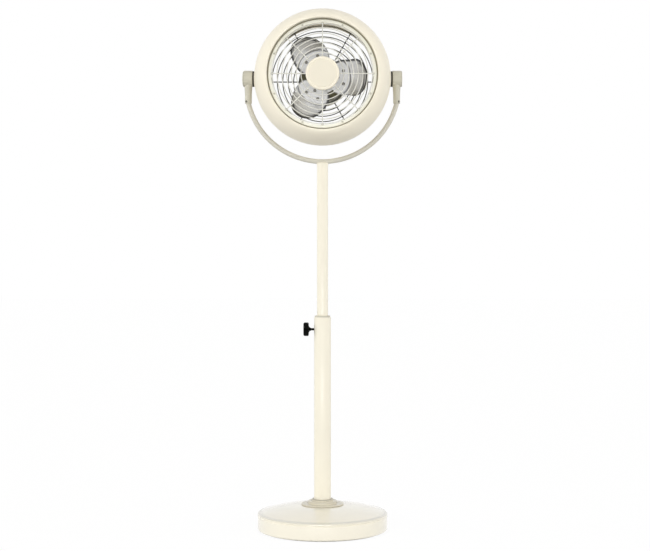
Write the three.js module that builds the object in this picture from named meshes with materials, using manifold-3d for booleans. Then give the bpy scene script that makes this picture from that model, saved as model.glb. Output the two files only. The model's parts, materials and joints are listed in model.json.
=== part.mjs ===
// A retro pedestal air circulator: a round-ringed fan head hung in a bent-tube yoke on a telescopic pole.
// Millimetres, +Z up, origin on the floor under the middle of the round base. The fan blows towards -Y.

import * as THREE from 'three';
import { mergeVertices } from 'three/addons/utils/BufferGeometryUtils.js';
import Module from 'manifold-3d';

const wasm = await Module();
wasm.setup();

// ---------------------------------------------------------------- driving dimensions

const gap = 0.3;                 // free space left between two pieces that touch
const runningGap = 0.3;          // free space round a piece that turns or slides
const overrun = 2;               // how far a cutting shape runs past the face that it cuts
const overlap = 1;               // how far two shapes run into each other where they are joined

// Pole
const lowerTubeRadius = 19;
const lowerTubeWall = 1.5;
const lowerTubeTop = 478;        // height of the mouth of the fixed tube
const upperTubeRadius = 12.5;
const upperTubeWall = 1.5;
const upperTubeShown = 345;      // upper tube between the fixed tube's mouth and the yoke
const upperTubeCope = 2.2;       // how far the coped mouth reaches up the sides of the yoke
const footPlugHeight = 15;
const poleBoltRadius = 4;
const poleBoltHeadRadius = 7.4;
const poleBoltHeadHeight = 5.3;
const poleWasherRadius = 12;
const poleWasherThickness = 1.6;
const bushDepth = 16;
const bushLipHeight = 3.5;
const bushLipRadius = 17.6;
const bushLipEdge = 0.8;
const guideHeight = 25;
const guideFlange = 3.5;
const guideShelf = 2.5;          // shelf under the upper tube, inside its outer face
const guideChamfer = 1;

// Pole collar, three rounded steps
const collarTopWidth = 5;        // each step's width outside the one above it
const collarTopHeight = 4;
const collarMiddleWidth = 8.4;
const collarMiddleHeight = 6.4;
const collarFlangeWidth = 15;
const collarFlangeThickness = 2.6;
const collarFlangeEdge = 1;
const collarRound = 1.8;
const collarOverhang = 1.4;      // flange outside the flat that it stands on

// Base
const baseRadius = 146;
const baseHemWidth = 1;          // bevel round the bottom of the side wall
const baseHemHeight = 2;
const baseWallTop = 36;          // height at which the side wall turns over
const baseEdgeRadius = 4;        // rolled edge between side wall and dome
const baseEdgeLand = 1;          // narrow ring inside the rolled edge
const baseEdgeStep = 0.8;        // little step down from that ring to the dome
const baseDomeTop = 57;          // height of the flat under the pole collar
const baseDomeBulge = 3.5;       // how far the dome stands above a straight cone
const baseSkin = 1.5;            // pressed sheet thickness
const basePlateThickness = 1.6;
const basePlateHoleRoom = 4;     // plate's hole outside the weight's recess
const footRingInset = 8;         // rubber ring inside the side wall
const footRingWidth = 22;
const footRingHeight = 3;
const weightRoom = 22.5;         // free ring between the weight and the side wall
const weightThickness = 12.5;
const weightChamfer = 2;
const weightHubRadius = 30;
const weightHubFillet = 6;
const weightRecessRoom = 4;      // recess outside the washer
const boltHeadRoom = 2;          // bolt head above the base plate's level

// Height lock, distances along the screw
const lockBelowBush = 11;        // screw axis below the guide bush
const lockStudRadius = 3;
const lockNutRadius = 6.5;
const lockStandoff = 7.5;        // free stud between the tube and the knob's neck
const lockNeckLength = 4.5;
const lockGripLength = 12;
const lockNeckRadius = 4.6;
const lockConeRadius = 7.6;
const lockGripRadius = 16;
const lockGripBevel = 1.2;
const lockFlutes = 8;
const lockFluteRadius = 4.4;
const lockBoreDepth = 7.5;       // how far the stud goes into the grip

// Head ring; depths are along Y from the tilt axis
const ringCrown = 152.4;         // radius of the ring at its widest
const ringCrownDepth = -26;
const ringFrontDepth = -90;
const ringRoll = 28.4;           // foremost circle inside the crown
const ringWall = 2.5;
const rollFullness = 1.7;        // 2 would make the rolls elliptical, less draws their middle in
const lipInset = 2;              // lip inside the foremost circle
const lipLength = 6.4;
const lipRound = 1.8;
const lipThickness = 2;
const seamDepth = -22;
const seamInset = 0.6;           // seam inside the crown
const seamWall = 2;              // bezel's wall where it meets the seam
const tongueLength = 12;
const tongueFit = 0.4;           // clearance between the tongue and the bezel
const tongueRoot = 2.7;          // the tongue's wall runs this far behind the seam
const rearDepth = 50;
const rearRoll = 21.8;           // start of the flat rear rim inside the seam
const rearLipWidth = 4.5;
const rearRollStart = 15;        // degrees of the ring's rear roll that the seam cuts off outside
const rearWallStart = 10;        // and inside

// Tilt pivots, distances along X
const padProud = 1.9;            // flat pad standing out of the shell
const padRoot = 6.5;             // how deep the pad starts before the shell's hollow trims it
const washerThickness = 3.1;
const pivotBlockLength = 19;
const pivotBlockRadius = 18.6;
const pivotBlockBevel = 1;
const pivotRecessRadius = 9.2;
const pivotRecessDepth = 10;
const pivotBoltRadius = 4;
const pivotBoltHeadRadius = 7;
const pivotBoltHeadHeight = 5;
const pivotNutRadius = 7;
const pivotNutThickness = 5;
const pivotPlateSide = 24;
const pivotPlateThickness = 2;
const pivotPlateRoom = 5.2;      // room between the flat plate and the curved wall
const capSpigotLength = 2.5;
const capEdge = 0.6;
const domeCapHeight = 4.2;
const flatCapHeight = 1.9;
const sleeveInset = 0.1;         // sleeve inside the faces of the block
const sleeveTopHalfDepth = 14;
const sleeveSideWall = 2.2;      // wall of the sleeve's lower end beside the yoke tube
const sleeveFrontWall = 2.8;     // and in front of it
const sleeveDrop = 55.4;         // bottom of the sleeve below the tilt axis
const sleeveSocketDepth = 28;
const setScrewRadius = 2.2;
const setScrewRise = 4;
const setScrewAngle = 57;        // degrees from the side towards the front
const setScrewProud = 0.6;

// Yoke
const yokeTubeRadius = 5.5;
const yokeTubeWall = 1.2;
const yokeBow = 4.6;             // how far the big bend would stand out past the upright ends
const yokeTurnRadius = 40;       // tighter bend that turns each end upright
const pivotAboveBend = 14.3;     // tilt axis above the centre of the big bend

// Front grille
const frameTuck = 7;             // flange behind the ring, outside the foremost circle
const frameShown = 10;           // flange inside the lip
const frameThickness = 1.8;
const frameSkirt = 14;
const frontWireRadius = 1.1;
const frontSpokeRadius = 1.2;
const frontRingCount = 7;
const frontRingInset = 2;        // last wire circle inside the flange's edge
const frontSpokeCount = 8;
const frontSpokeLanding = 2.5;   // end of a spoke on the flange
const badgeRadius = 36.9;
const badgeRingSpace = 10.1;     // first wire circle outside the badge
const hubPlateInset = 0.9;       // hub plate inside the badge's edge
const hubPlateThickness = 1.5;
const hubSpokeLanding = 10;      // end of a spoke on the hub plate
const badgeHeight = 7.4;
const badgeWall = 2.6;
const badgeRound = 3;
const badgeGrooveRadius = 31;
const badgeGrooveHalfWidth = 0.8;
const badgeGroove = 0.6;
const badgeBossRadius = 6;
const badgeScrewRadius = 1.8;
const badgeScrewHeadRadius = 4;
const badgeScrewHeadEdge = 1;
const badgeScrewHeadHeight = 2.2;
const weldSink = 0.8;            // how far a wire is welded into the one that it crosses
const plateSink = 0.5;           // how far a spoke is welded into a plate

// Rear grille
const rearGrilleRoom = 4.5;      // grille's plate in front of the rear rim
const rearPlateInner = 20;
const rearPlateThickness = 1.8;
const rearWireRadius = 1.1;
const rearSpokeRadius = 1.3;
const rearSpokeLanding = 20;
const rearRingStart = 12;        // first wire circle outside the plate
const rearRingInset = 2;         // last wire circle inside the rear rim
const rearRingCount = 6;
const rearSpokeCount = 6;

// Blades
const bladeCount = 3;
const bladeThickness = 1.2;
const bladePlane = -26;
const bladeRoot = 24;
const bladeTipRoom = 20.5;       // blade tip inside the ring's lip
const bladeHalfWidth = 40;
const bladeWidest = 55;
const bladeRootNarrowing = 9;
const bladeTipExponent = 2.6;
const bladeTipLand = 0.6;        // the outline is closed this far inside its tip
const bladePitchRatio = 0.76;    // depth per width of the pitched outer part
const bladeTwistStart = 56;
const bladeTwistEnd = 80;
const bladeCamber = 4.5;
const rivetRadius = 2;
const rivetHeadRadius = 3.6;
const rivetHeadTopRadius = 1.8;
const rivetHeadHeight = 1.6;
const rivetOuterRadius = 49;
const rivetOuterAngle = 17.4;
const rivetInnerRadius = 34;
const spiderThickness = 3;
const spiderDiscRadius = 36;
const spiderLobeRadius = 19;
const spiderLobeCentre = 40;
const spiderHubRadius = 14;
const spiderHubFront = 8;        // hub in front of the blades
const spiderHubBack = 12;
const nutRadius = 9;
const nutCrownRadius = 5;
const nutLength = 9;
const nutFlatLength = 5.4;
const nutEndWall = 2;

// Motor
const motorBehindBlades = 18;
const shaftRadius = 4;
const shaftStub = 3.6;           // shaft behind the motor
const shaftRoom = 1;             // hole in the covers round the shaft
const motorRadius = 50;
const motorChamfer = 8;
const motorShell = 2.4;
const bearingRadius = 8;
const bearingLength = 10;
const bearingSeatWall = 4.7;
const bearingShelf = 1.7;        // front cover's wall in front of the bearing
const bearingRearShelf = 0.6;
const windingInner = 29;
const windingOuter = 42;
const windingLength = 8.6;
const windingRoom = 3.9;         // free space between a winding and the cover
const airGap = 0.5;
const rotorRadius = 24;
const statorSlots = 8;
const statorSlotDepth = 12;
const statorSlotWidth = 4;
const coverOnStack = 8;          // how far the front cover reaches over the stack

// Rear cover and what it holds
const coverRadius = 54.4;
const coverPlateInset = 0.4;     // grille's plate inside the cover
const coverWall = 2.2;
const coverProud = 36;           // cover's flat back behind the rear rim
const coverShoulderLength = 24;
const coverFlatRadius = 36;
const switchSize = 30;
const switchDepth = 14;
const switchFloor = 4;
const switchBushRadius = 4.6;
const switchShaftRadius = 3;
const capacitorWidth = 44;
const capacitorHeight = 20;
const capacitorDepth = 13;
const capacitorRoom = 9.2;       // above the capacitor, inside the cover's wall
const capacitorSetback = 1;
const glandBeforeShoulder = 5;
const glandRadius = 8;
const glandNeckRadius = 5.6;
const glandBore = 3.2;
const glandLength = 9;
const glandRimLength = 2.5;
const glandTaper = 1.6;
const glandInside = 3;           // neck inside the cover's wall
const speedKnobRadius = 15;
const speedKnobLength = 14;
const speedKnobBevel = 1;
const speedKnobFlutes = 12;
const speedKnobFluteRadius = 1.8;
const speedKnobBoreDepth = 9;

// Facets round a circle: mating circles share a count
const ringFacets = 36;           // base and head rings
const poleFacets = 20;           // tubes and everything turned on the pole
const motorFacets = 20;
const smallFacets = 12;          // bolts and bores
const tinyFacets = 6;
const hexagon = 6;
const spokeSides = 4;
const wireSides = 3;
const windingSides = 6;
const grilleFacets = 24;         // each wire circle
const yokeSteps = 32;            // along the yoke
const yokeSectionSteps = 4;
const bladeRows = 9;
const bladeColumns = 6;
const bladeRowCrowding = 0.85;   // below 1 the rows crowd towards the tip less

// ---------------------------------------------------------------- sizes that follow

// Ring, from its crown inwards
const seamRadius = ringCrown - seamInset;
const ringFrontRadius = ringCrown - ringRoll;
const lipRadius = ringFrontRadius - lipInset;
const lipDepth = ringFrontDepth + lipLength;
const rearRadius = seamRadius - rearRoll;
const rearLipRadius = rearRadius - rearLipWidth;

// Pivots, from the ring outwards
const padOuter = seamRadius + padProud;
const washerInner = padOuter + gap;
const washerOuter = washerInner + washerThickness;
const blockInner = washerOuter + gap;
const blockOuter = blockInner + pivotBlockLength;
const socketX = (blockInner + blockOuter) / 2;

// Grilles and blades, from the ring inwards
const frameDepth = lipDepth + 2 * frontSpokeRadius + 4 * gap;
const frameInner = lipRadius - frameShown;
const frameOuter = ringFrontRadius + frameTuck;
const frontRingFirst = badgeRadius + badgeRingSpace;
const frontRingPitch = (frameInner - frontRingInset - frontRingFirst) / (frontRingCount - 1);
const rearPlateDepth = rearDepth - ringWall - rearGrilleRoom;
const rearPlateOuter = coverRadius - coverPlateInset;
const rearRingFirst = rearPlateOuter + rearRingStart;
const rearRingPitch = (rearRadius - rearRingInset - rearRingFirst) / (rearRingCount - 1);
const bladeTip = lipRadius - bladeTipRoom;

// ---------------------------------------------------------------- finishes

function finish(color, roughness, metalness) {
  return new THREE.MeshStandardMaterial({ color, roughness, metalness });
}

const creamPaint = finish(0xf4eedb, 0.35, 0.1);
const creamPlastic = finish(0xf6f0dd, 0.3, 0);
const greyCream = finish(0xc8c5b6, 0.45, 0.1);
const wireCream = finish(0xd9d8cf, 0.35, 0.5);
const darkWire = finish(0x54544c, 0.4, 0.6);
const bladeMetal = finish(0xbfbfb9, 0.3, 0.9);
const steel = finish(0xa8a8a4, 0.35, 0.9);
const blackPlastic = finish(0x121311, 0.45, 0);
const rubber = finish(0x2b2a27, 0.9, 0);
const castIron = finish(0x4b4a47, 0.7, 0.6);
const motorPaint = finish(0x6b6950, 0.5, 0.2);
const copper = finish(0xa8622e, 0.4, 0.9);
const bronze = finish(0x8d6b3c, 0.5, 0.8);
const greyNylon = finish(0xb9b7ab, 0.6, 0);

// ---------------------------------------------------------------- geometry helpers

const radians = THREE.MathUtils.degToRad;

// One closed surface: shared corners merged, folded triangles dropped, faces pointing out.
function sealed(geometry) {
  geometry.deleteAttribute('normal');
  geometry.deleteAttribute('uv');
  const merged = mergeVertices(geometry, 1e-4);
  const corner = merged.attributes.position;
  const point = (i) => new THREE.Vector3().fromBufferAttribute(corner, i);
  const kept = [];
  let volume = 0;
  for (let i = 0; i < merged.index.count; i += 3) {
    const [a, b, c] = [merged.index.getX(i), merged.index.getX(i + 1), merged.index.getX(i + 2)];
    if (a === b || b === c || c === a) continue;
    kept.push(a, b, c);
    volume += point(a).dot(point(b).cross(point(c)));
  }
  if (volume < 0) kept.reverse();
  merged.setIndex(kept);
  return merged;
}

// A BufferGeometry as a solid for cutting, and back again.
function toSolid(geometry) {
  const closed = sealed(geometry.clone());
  const vertProperties = new Float32Array(closed.attributes.position.array);
  const triVerts = new Uint32Array(closed.index.array);
  return new wasm.Manifold(new wasm.Mesh({ numProp: 3, vertProperties, triVerts }));
}

function fromSolid(solid) {
  const mesh = solid.getMesh();
  const geometry = new THREE.BufferGeometry();
  geometry.setAttribute('position', new THREE.BufferAttribute(new Float32Array(mesh.vertProperties), 3));
  geometry.setIndex(new THREE.BufferAttribute(new Uint32Array(mesh.triVerts), 1));
  return geometry;
}

function cut(body, ...tools) {
  return fromSolid(tools.reduce((solid, tool) => solid.subtract(toSolid(tool)), toSolid(body)));
}

function join(body, ...others) {
  return fromSolid(others.reduce((solid, other) => solid.add(toSolid(other)), toSolid(body)));
}

function common(body, other) {
  return fromSolid(toSolid(body).intersect(toSolid(other)));
}

// Points of an arc, angles in degrees. At fullness 2 it is part of an ellipse, and below that it is drawn in
// between its axes.
function arc(centreR, centreH, radiusR, radiusH, from, to, steps, fullness = 2) {
  const drawn = (value) => Math.sign(value) * Math.abs(value) ** (2 / fullness);
  const points = [];
  for (let i = 0; i <= steps; i += 1) {
    const angle = radians(from + ((to - from) * i) / steps);
    points.push([centreR + radiusR * drawn(Math.cos(angle)), centreH + radiusH * drawn(Math.sin(angle))]);
  }
  return points;
}

// Points of a closed section with its corners on an ellipse and a side facing outwards.
function section(centreR, centreH, radiusR, radiusH, corners) {
  const half = 180 / corners;
  return arc(centreR, centreH, radiusR, radiusH, half, 360 - half, corners - 1);
}

// A turned piece about the Y axis from [radius, height] points: they close on the axis or on themselves.
function turned(profile, segments = poleFacets) {
  const points = profile.map(([r, h]) => new THREE.Vector2(Math.max(r, 0), h));
  const onAxis = points[0].x === 0 && points[points.length - 1].x === 0;
  if (!onAxis) points.push(points[0].clone());
  return sealed(new THREE.LatheGeometry(points, segments));
}

// A plain ring or disc about the Y axis between two heights.
function ring(inner, outer, low, high, segments = poleFacets) {
  return turned([[inner, low], [outer, low], [outer, high], [inner, high]], segments);
}

const alongZ = (geometry) => geometry.rotateX(Math.PI / 2);
const alongX = (geometry) => geometry.rotateZ(-Math.PI / 2);
const mirrored = (geometry) => sealed(geometry.clone().applyMatrix4(new THREE.Matrix4().makeScale(-1, 1, 1)));

// A round bar about the X axis between two places on it.
const barX = (radius, from, to, segments = smallFacets) => alongX(ring(0, radius, from, to, segments));

// A fluted grip about the Y axis, cut by round cutters that stand a little outside its edge.
function fluted(radius, low, high, flutes, fluteRadius, bevel) {
  const blank = turned([[0, low], [radius - bevel, low], [radius, low + bevel],
    [radius, high - bevel], [radius - bevel, high], [0, high]]);
  const cutters = [];
  for (let i = 0; i < flutes; i += 1) {
    const angle = (2 * Math.PI * i) / flutes;
    const cutter = ring(0, fluteRadius, low - overrun, high + overrun, tinyFacets);
    const outset = radius + fluteRadius * 0.45;
    cutters.push(cutter.translate(outset * Math.cos(angle), 0, outset * Math.sin(angle)));
  }
  return cut(blank, ...cutters);
}

// ---------------------------------------------------------------- assembly

const fan = new THREE.Group();
const stand = new THREE.Group();
const mast = new THREE.Group();
const head = new THREE.Group();
const rotor = new THREE.Group();
fan.add(stand, mast, head);
head.add(rotor);

function piece(parent, name, geometry, material) {
  const mesh = new THREE.Mesh(sealed(geometry), material);
  mesh.name = name;
  parent.add(mesh);
  return mesh;
}

// ---------------------------------------------------------------- base

const tubeBore = lowerTubeRadius - lowerTubeWall;
const collarTopRadius = lowerTubeRadius + collarTopWidth;
const collarMiddleRadius = collarTopRadius + collarMiddleWidth;
const collarFlangeRadius = collarMiddleRadius + collarFlangeWidth;
const baseDomeTopRadius = collarFlangeRadius - collarOverhang;

const plateBottom = footRingHeight + gap;
const plateTop = plateBottom + basePlateThickness;
const plateRadius = baseRadius - baseSkin - gap;
const footRingOuter = baseRadius - footRingInset;
const weightBottom = plateTop + gap;
const weightRadius = baseRadius - baseSkin - weightRoom;
const weightRecessRadius = poleWasherRadius + weightRecessRoom;
const boltHeadBottom = weightBottom + boltHeadRoom;
const boltHeadTop = boltHeadBottom + poleBoltHeadHeight;
const washerBottom = boltHeadTop + gap;
const washerTop = washerBottom + poleWasherThickness;
const boltHole = poleBoltRadius + gap;
const collarBottom = baseDomeTop + gap;
const tubeBottom = baseDomeTop + gap;
const plugBottom = tubeBottom + gap;
const plugTop = plugBottom + footPlugHeight;
const edgeTop = baseWallTop + baseEdgeRadius;
const domeStart = baseRadius - baseEdgeRadius - baseEdgeLand;

// Height of the dome at a radius: a cone with a little bulge that is zero at both ends.
function domeHeight(radius) {
  const along = (domeStart - radius) / (domeStart - baseDomeTopRadius);
  const low = edgeTop - baseEdgeStep;
  return low + (baseDomeTop - low) * along + 4 * baseDomeBulge * along * (1 - along);
}

function baseCover() {
  const domeSteps = 3;
  const dome = [];
  for (let i = 0; i <= domeSteps; i += 1) {
    const radius = domeStart + ((baseDomeTopRadius - domeStart) * i) / domeSteps;
    dome.push([radius, domeHeight(radius)]);
  }
  const under = [dome[3], dome[1], dome[0]].map(([r, h]) => [r, h - baseSkin]);
  const innerEdge = baseRadius - baseSkin;
  return alongZ(turned([
    [innerEdge, footRingHeight], [baseRadius - baseHemWidth, footRingHeight],
    [baseRadius, footRingHeight + baseHemHeight],
    ...arc(baseRadius - baseEdgeRadius, baseWallTop, baseEdgeRadius, baseEdgeRadius, 0, 90, 2),
    ...dome, [boltHole, baseDomeTop], [boltHole, baseDomeTop - baseSkin], ...under,
    [innerEdge, baseWallTop],
  ], ringFacets));
}

function baseWeight() {
  const top = weightBottom + weightThickness;
  const hubTop = baseDomeTop - baseSkin - gap;
  const recessTop = washerTop + gap;
  return alongZ(turned([
    [weightRecessRadius, weightBottom], [weightRadius - weightChamfer, weightBottom],
    [weightRadius, weightBottom + weightChamfer], [weightRadius, top - weightChamfer],
    [weightRadius - weightChamfer, top], [weightHubRadius + weightHubFillet, top],
    [weightHubRadius, top + weightHubFillet], [weightHubRadius, hubTop], [boltHole, hubTop],
    [boltHole, recessTop], [weightRecessRadius, recessTop],
  ]));
}

function poleBolt() {
  const headPart = ring(0, poleBoltHeadRadius, boltHeadBottom, boltHeadTop, hexagon);
  const shank = ring(0, poleBoltRadius, boltHeadTop - overlap, plugTop - overrun, smallFacets);
  return alongZ(join(headPart, shank));
}

function poleCollar() {
  const flangeTop = collarBottom + collarFlangeThickness;
  const middleTop = flangeTop + collarMiddleHeight;
  const top = middleTop + collarTopHeight;
  const bore = lowerTubeRadius + gap;
  return alongZ(turned([
    [bore, collarBottom], [collarFlangeRadius, collarBottom],
    [collarFlangeRadius, flangeTop - collarFlangeEdge], [collarFlangeRadius - collarFlangeEdge, flangeTop],
    [collarMiddleRadius, flangeTop],
    ...arc(collarMiddleRadius - collarRound, middleTop - collarRound, collarRound, collarRound, 0, 90, 2),
    [collarTopRadius, middleTop],
    ...arc(collarTopRadius - collarRound, top - collarRound, collarRound, collarRound, 0, 90, 2),
    [bore, top],
  ]));
}

const footRing = ring(footRingOuter - footRingWidth, footRingOuter, 0, footRingHeight, ringFacets);
const plateHole = weightRecessRadius + basePlateHoleRoom;
const poleWasher = ring(boltHole, poleWasherRadius, washerBottom, washerTop, smallFacets);

piece(stand, 'foot_ring', alongZ(footRing), rubber);
piece(stand, 'base_plate', alongZ(ring(plateHole, plateRadius, plateBottom, plateTop, ringFacets)), castIron);
piece(stand, 'base_weight', baseWeight(), castIron);
piece(stand, 'base_cover', baseCover(), creamPaint);
piece(stand, 'pole_bolt', poleBolt(), steel);
piece(stand, 'pole_washer', alongZ(poleWasher), steel);
piece(stand, 'pole_foot_plug', alongZ(ring(boltHole, tubeBore - gap, plugBottom, plugTop)), steel);
piece(stand, 'pole_collar', poleCollar(), creamPaint);

// ---------------------------------------------------------------- lower tube and height lock

const lockHeight = lowerTubeTop - bushDepth - lockBelowBush;
const lockNeckStart = lowerTubeRadius + lockStandoff;
const lockGripStart = lockNeckStart + lockNeckLength;
const lockGripEnd = lockGripStart + lockGripLength;
const studTip = upperTubeRadius + gap;
const studEnd = lockGripStart + lockBoreDepth;

function lowerTube() {
  const tube = alongZ(ring(tubeBore, lowerTubeRadius, tubeBottom, lowerTubeTop));
  const hole = barX(lockStudRadius + gap, -lowerTubeRadius - overrun, -tubeBore + overrun);
  return cut(tube, hole.translate(0, 0, lockHeight));
}

// Threaded insert behind the wall: its outer end follows the tube, its inner end clears the upper tube.
function lockInsert() {
  const blank = barX(lockNutRadius, -tubeBore - overrun, -studTip - gap);
  const bore = barX(lockStudRadius + gap, -tubeBore - 2 * overrun, -studTip + overrun);
  const inside = alongZ(ring(0, tubeBore - gap, -lockNutRadius - overrun, lockNutRadius + overrun));
  return common(cut(blank, bore), inside).translate(0, 0, lockHeight);
}

function guideBush() {
  const bore = upperTubeRadius + runningGap;
  const lipBottom = lowerTubeTop + gap;
  const lipTop = lipBottom + bushLipHeight;
  return alongZ(turned([
    [bore, lowerTubeTop - bushDepth], [tubeBore - gap, lowerTubeTop - bushDepth], [tubeBore - gap, lipBottom],
    [bushLipRadius, lipBottom], [bushLipRadius, lipTop - bushLipEdge], [bushLipRadius - bushLipEdge, lipTop],
    [bore, lipTop],
  ]));
}

function lockKnob() {
  const grip = fluted(lockGripRadius, lockGripStart, lockGripEnd, lockFlutes, lockFluteRadius, lockGripBevel);
  const neckEnd = lockGripStart + overlap;
  const neck = turned([[0, lockNeckStart], [lockNeckRadius, lockNeckStart], [lockConeRadius, neckEnd],
    [0, neckEnd]], smallFacets);
  const bore = ring(0, lockStudRadius + gap, lockNeckStart - overrun, studEnd + gap, smallFacets);
  return alongX(cut(join(grip, neck), bore)).rotateZ(Math.PI).translate(0, 0, lockHeight);
}

piece(stand, 'lower_tube', lowerTube(), creamPaint);
piece(stand, 'lock_insert', lockInsert(), steel);
piece(stand, 'guide_bush', guideBush(), greyCream);
piece(stand, 'lock_stud', barX(lockStudRadius, -studEnd, -studTip).translate(0, 0, lockHeight), steel);
piece(stand, 'lock_knob', lockKnob(), blackPlastic);

// ---------------------------------------------------------------- mast: sliding guide, upper tube, yoke

const guideTop = lockHeight - lockNutRadius - gap;
const guideBottom = guideTop - guideHeight;
const upperTubeBottom = guideBottom + guideFlange + gap;
const mastTop = lowerTubeTop + upperTubeShown;
const yokeBendRadius = socketX + yokeBow;
const bendCentreZ = mastTop + yokeTubeRadius + yokeBendRadius;
const tiltZ = bendCentreZ + pivotAboveBend;

function slideGuide() {
  const outer = tubeBore - runningGap;
  const socket = upperTubeRadius + runningGap;
  const bore = upperTubeRadius - guideShelf;
  return alongZ(turned([
    [bore, guideBottom], [outer - guideChamfer, guideBottom], [outer, guideBottom + guideChamfer],
    [outer, guideTop], [socket, guideTop], [socket, guideBottom + guideFlange],
    [bore, guideBottom + guideFlange],
  ]));
}

piece(mast, 'slide_guide', slideGuide(), greyNylon);

// The yoke's centre line in the XZ plane: the big bend, on each side a tighter bend that turns the end upright
// over the socket, and a straight end in the socket. endLean is where the two bends meet in one direction.
const endLean = Math.acos((socketX - yokeTurnRadius) / (yokeBendRadius - yokeTurnRadius));
const bendHalf = Math.PI / 2 - endLean;
const bendEndZ = bendCentreZ - yokeBendRadius * Math.sin(endLean);
const turnEndZ = bendEndZ + yokeTurnRadius * Math.sin(endLean);
const sleeveBottomZ = tiltZ - sleeveDrop;
const tubeEndZ = sleeveBottomZ + sleeveSocketDepth;
const bendLength = yokeBendRadius * bendHalf;
const turnLength = yokeTurnRadius * endLean;
const yokeHalfLength = bendLength + turnLength + (tubeEndZ - turnEndZ);

class YokeLine extends THREE.Curve {
  getPoint(t, target = new THREE.Vector3()) {
    const distance = (2 * t - 1) * yokeHalfLength;
    const side = distance < 0 ? -1 : 1;
    const along = Math.abs(distance);
    if (along <= bendLength) {
      const angle = along / yokeBendRadius;
      return target.set(side * yokeBendRadius * Math.sin(angle), 0,
        bendCentreZ - yokeBendRadius * Math.cos(angle));
    }
    if (along <= bendLength + turnLength) {
      const lean = endLean - (along - bendLength) / yokeTurnRadius;
      return target.set(side * (socketX - yokeTurnRadius * (1 - Math.cos(lean))), 0,
        turnEndZ - yokeTurnRadius * Math.sin(lean));
    }
    return target.set(side * socketX, 0, turnEndZ + along - bendLength - turnLength);
  }
}

function yokeBar(outer, inner) {
  const outline = new THREE.Shape().absarc(0, 0, outer, 0, 2 * Math.PI, false);
  if (inner > 0) outline.holes.push(new THREE.Path().absarc(0, 0, inner, 0, 2 * Math.PI, true));
  return new THREE.ExtrudeGeometry(outline, {
    extrudePath: new YokeLine(), steps: yokeSteps, curveSegments: yokeSectionSteps, bevelEnabled: false,
  });
}

piece(mast, 'yoke_tube', yokeBar(yokeTubeRadius, yokeTubeRadius - yokeTubeWall), greyCream);

// The upper tube's mouth is coped round the yoke, which is welded into it.
function upperTube() {
  const bore = upperTubeRadius - upperTubeWall;
  const tube = alongZ(ring(bore, upperTubeRadius, upperTubeBottom, mastTop + upperTubeCope));
  return cut(tube, yokeBar(yokeTubeRadius + gap, 0));
}

piece(mast, 'upper_tube', upperTube(), creamPaint);

// ---------------------------------------------------------------- tilt pivots

const recessStart = blockOuter - pivotRecessDepth;
const pivotNutStart = recessStart + gap;
const pivotNutEnd = pivotNutStart + pivotNutThickness;
const plateInner = seamRadius - ringWall - pivotPlateRoom - pivotPlateThickness;
const plateOuter = plateInner + pivotPlateThickness;
const screwDirection = radians(setScrewAngle);

// A tapered elliptical sleeve that hangs from the pivot, as wide as the block at its top.
function tiltSleeve() {
  const sleeve = sealed(new THREE.CylinderGeometry(1, 1, sleeveDrop, smallFacets, 1));
  const at = sleeve.attributes.position;
  for (let i = 0; i < at.count; i += 1) {
    const upper = at.getY(i) > 0;
    const halfWidth = upper ? pivotBlockLength / 2 - sleeveInset : yokeTubeRadius + sleeveSideWall;
    const halfDepth = upper ? sleeveTopHalfDepth : yokeTubeRadius + sleeveFrontWall;
    at.setXYZ(i, at.getX(i) * halfWidth, at.getY(i) - sleeveDrop / 2, at.getZ(i) * halfDepth);
  }
  return alongZ(sleeve);
}

// A short bar across the sleeve's wall for the set screw or its hole, side +1 or -1.
function setScrewBar(side, radius, from, to) {
  const bar = barX(radius, from, to, tinyFacets).rotateZ(-screwDirection);
  const turnedOut = side < 0 ? mirrored(bar) : bar;
  return sealed(turnedOut.translate(side * socketX, 0, sleeveBottomZ + setScrewRise));
}

function pivotHousing(side) {
  const r = pivotBlockRadius;
  const b = pivotBlockBevel;
  const block = alongX(turned([[0, blockInner], [r - b, blockInner], [r, blockInner + b], [r, blockOuter - b],
    [r - b, blockOuter], [0, blockOuter]]));
  const bore = barX(pivotBoltRadius + runningGap, blockInner - overrun, blockOuter + overrun);
  const recess = barX(pivotRecessRadius, recessStart, blockOuter + overrun, poleFacets);
  const sleeve = tiltSleeve().translate(socketX, 0, 0);
  const whole = cut(join(block, sleeve), bore, recess);
  const placed = (side < 0 ? mirrored(whole) : whole).translate(0, 0, tiltZ);
  const hole = setScrewBar(side, setScrewRadius + gap, yokeTubeRadius - overrun, sleeveTopHalfDepth + overrun);
  return cut(placed, yokeBar(yokeTubeRadius + gap, 0), hole);
}

function pivotCap(height, domed) {
  const spigot = pivotRecessRadius - gap;
  const spigotStart = blockOuter - capSpigotLength;
  const face = blockOuter + gap;
  const edge = pivotBlockRadius - pivotBlockBevel;
  const outside = domed
    ? [[edge, face], ...arc(0, face + capEdge, edge, height - capEdge, 0, 90, 3)]
    : [[edge, face], [edge, face + height - capEdge], [edge - capEdge, face + height], [0, face + height]];
  return alongX(turned([[0, spigotStart], [spigot, spigotStart], [spigot, face], ...outside]));
}

function pivotBolt() {
  const headEnd = plateInner - gap;
  const headPart = alongX(ring(0, pivotBoltHeadRadius, headEnd - pivotBoltHeadHeight, headEnd, hexagon));
  return join(headPart, barX(pivotBoltRadius, headEnd - overlap, pivotNutEnd - gap));
}

function pivotPlate() {
  const plate = new THREE.BoxGeometry(pivotPlateThickness, pivotPlateSide, pivotPlateSide);
  plate.translate((plateInner + plateOuter) / 2, 0, 0);
  return cut(plate, barX(pivotBoltRadius + gap, plateInner - overrun, plateOuter + overrun));
}

function pivotNut() {
  const nut = alongX(ring(0, pivotNutRadius, pivotNutStart, pivotNutEnd, hexagon));
  return cut(nut, barX(pivotBoltRadius + gap, pivotNutStart - overrun, pivotNutEnd + overrun));
}

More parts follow.
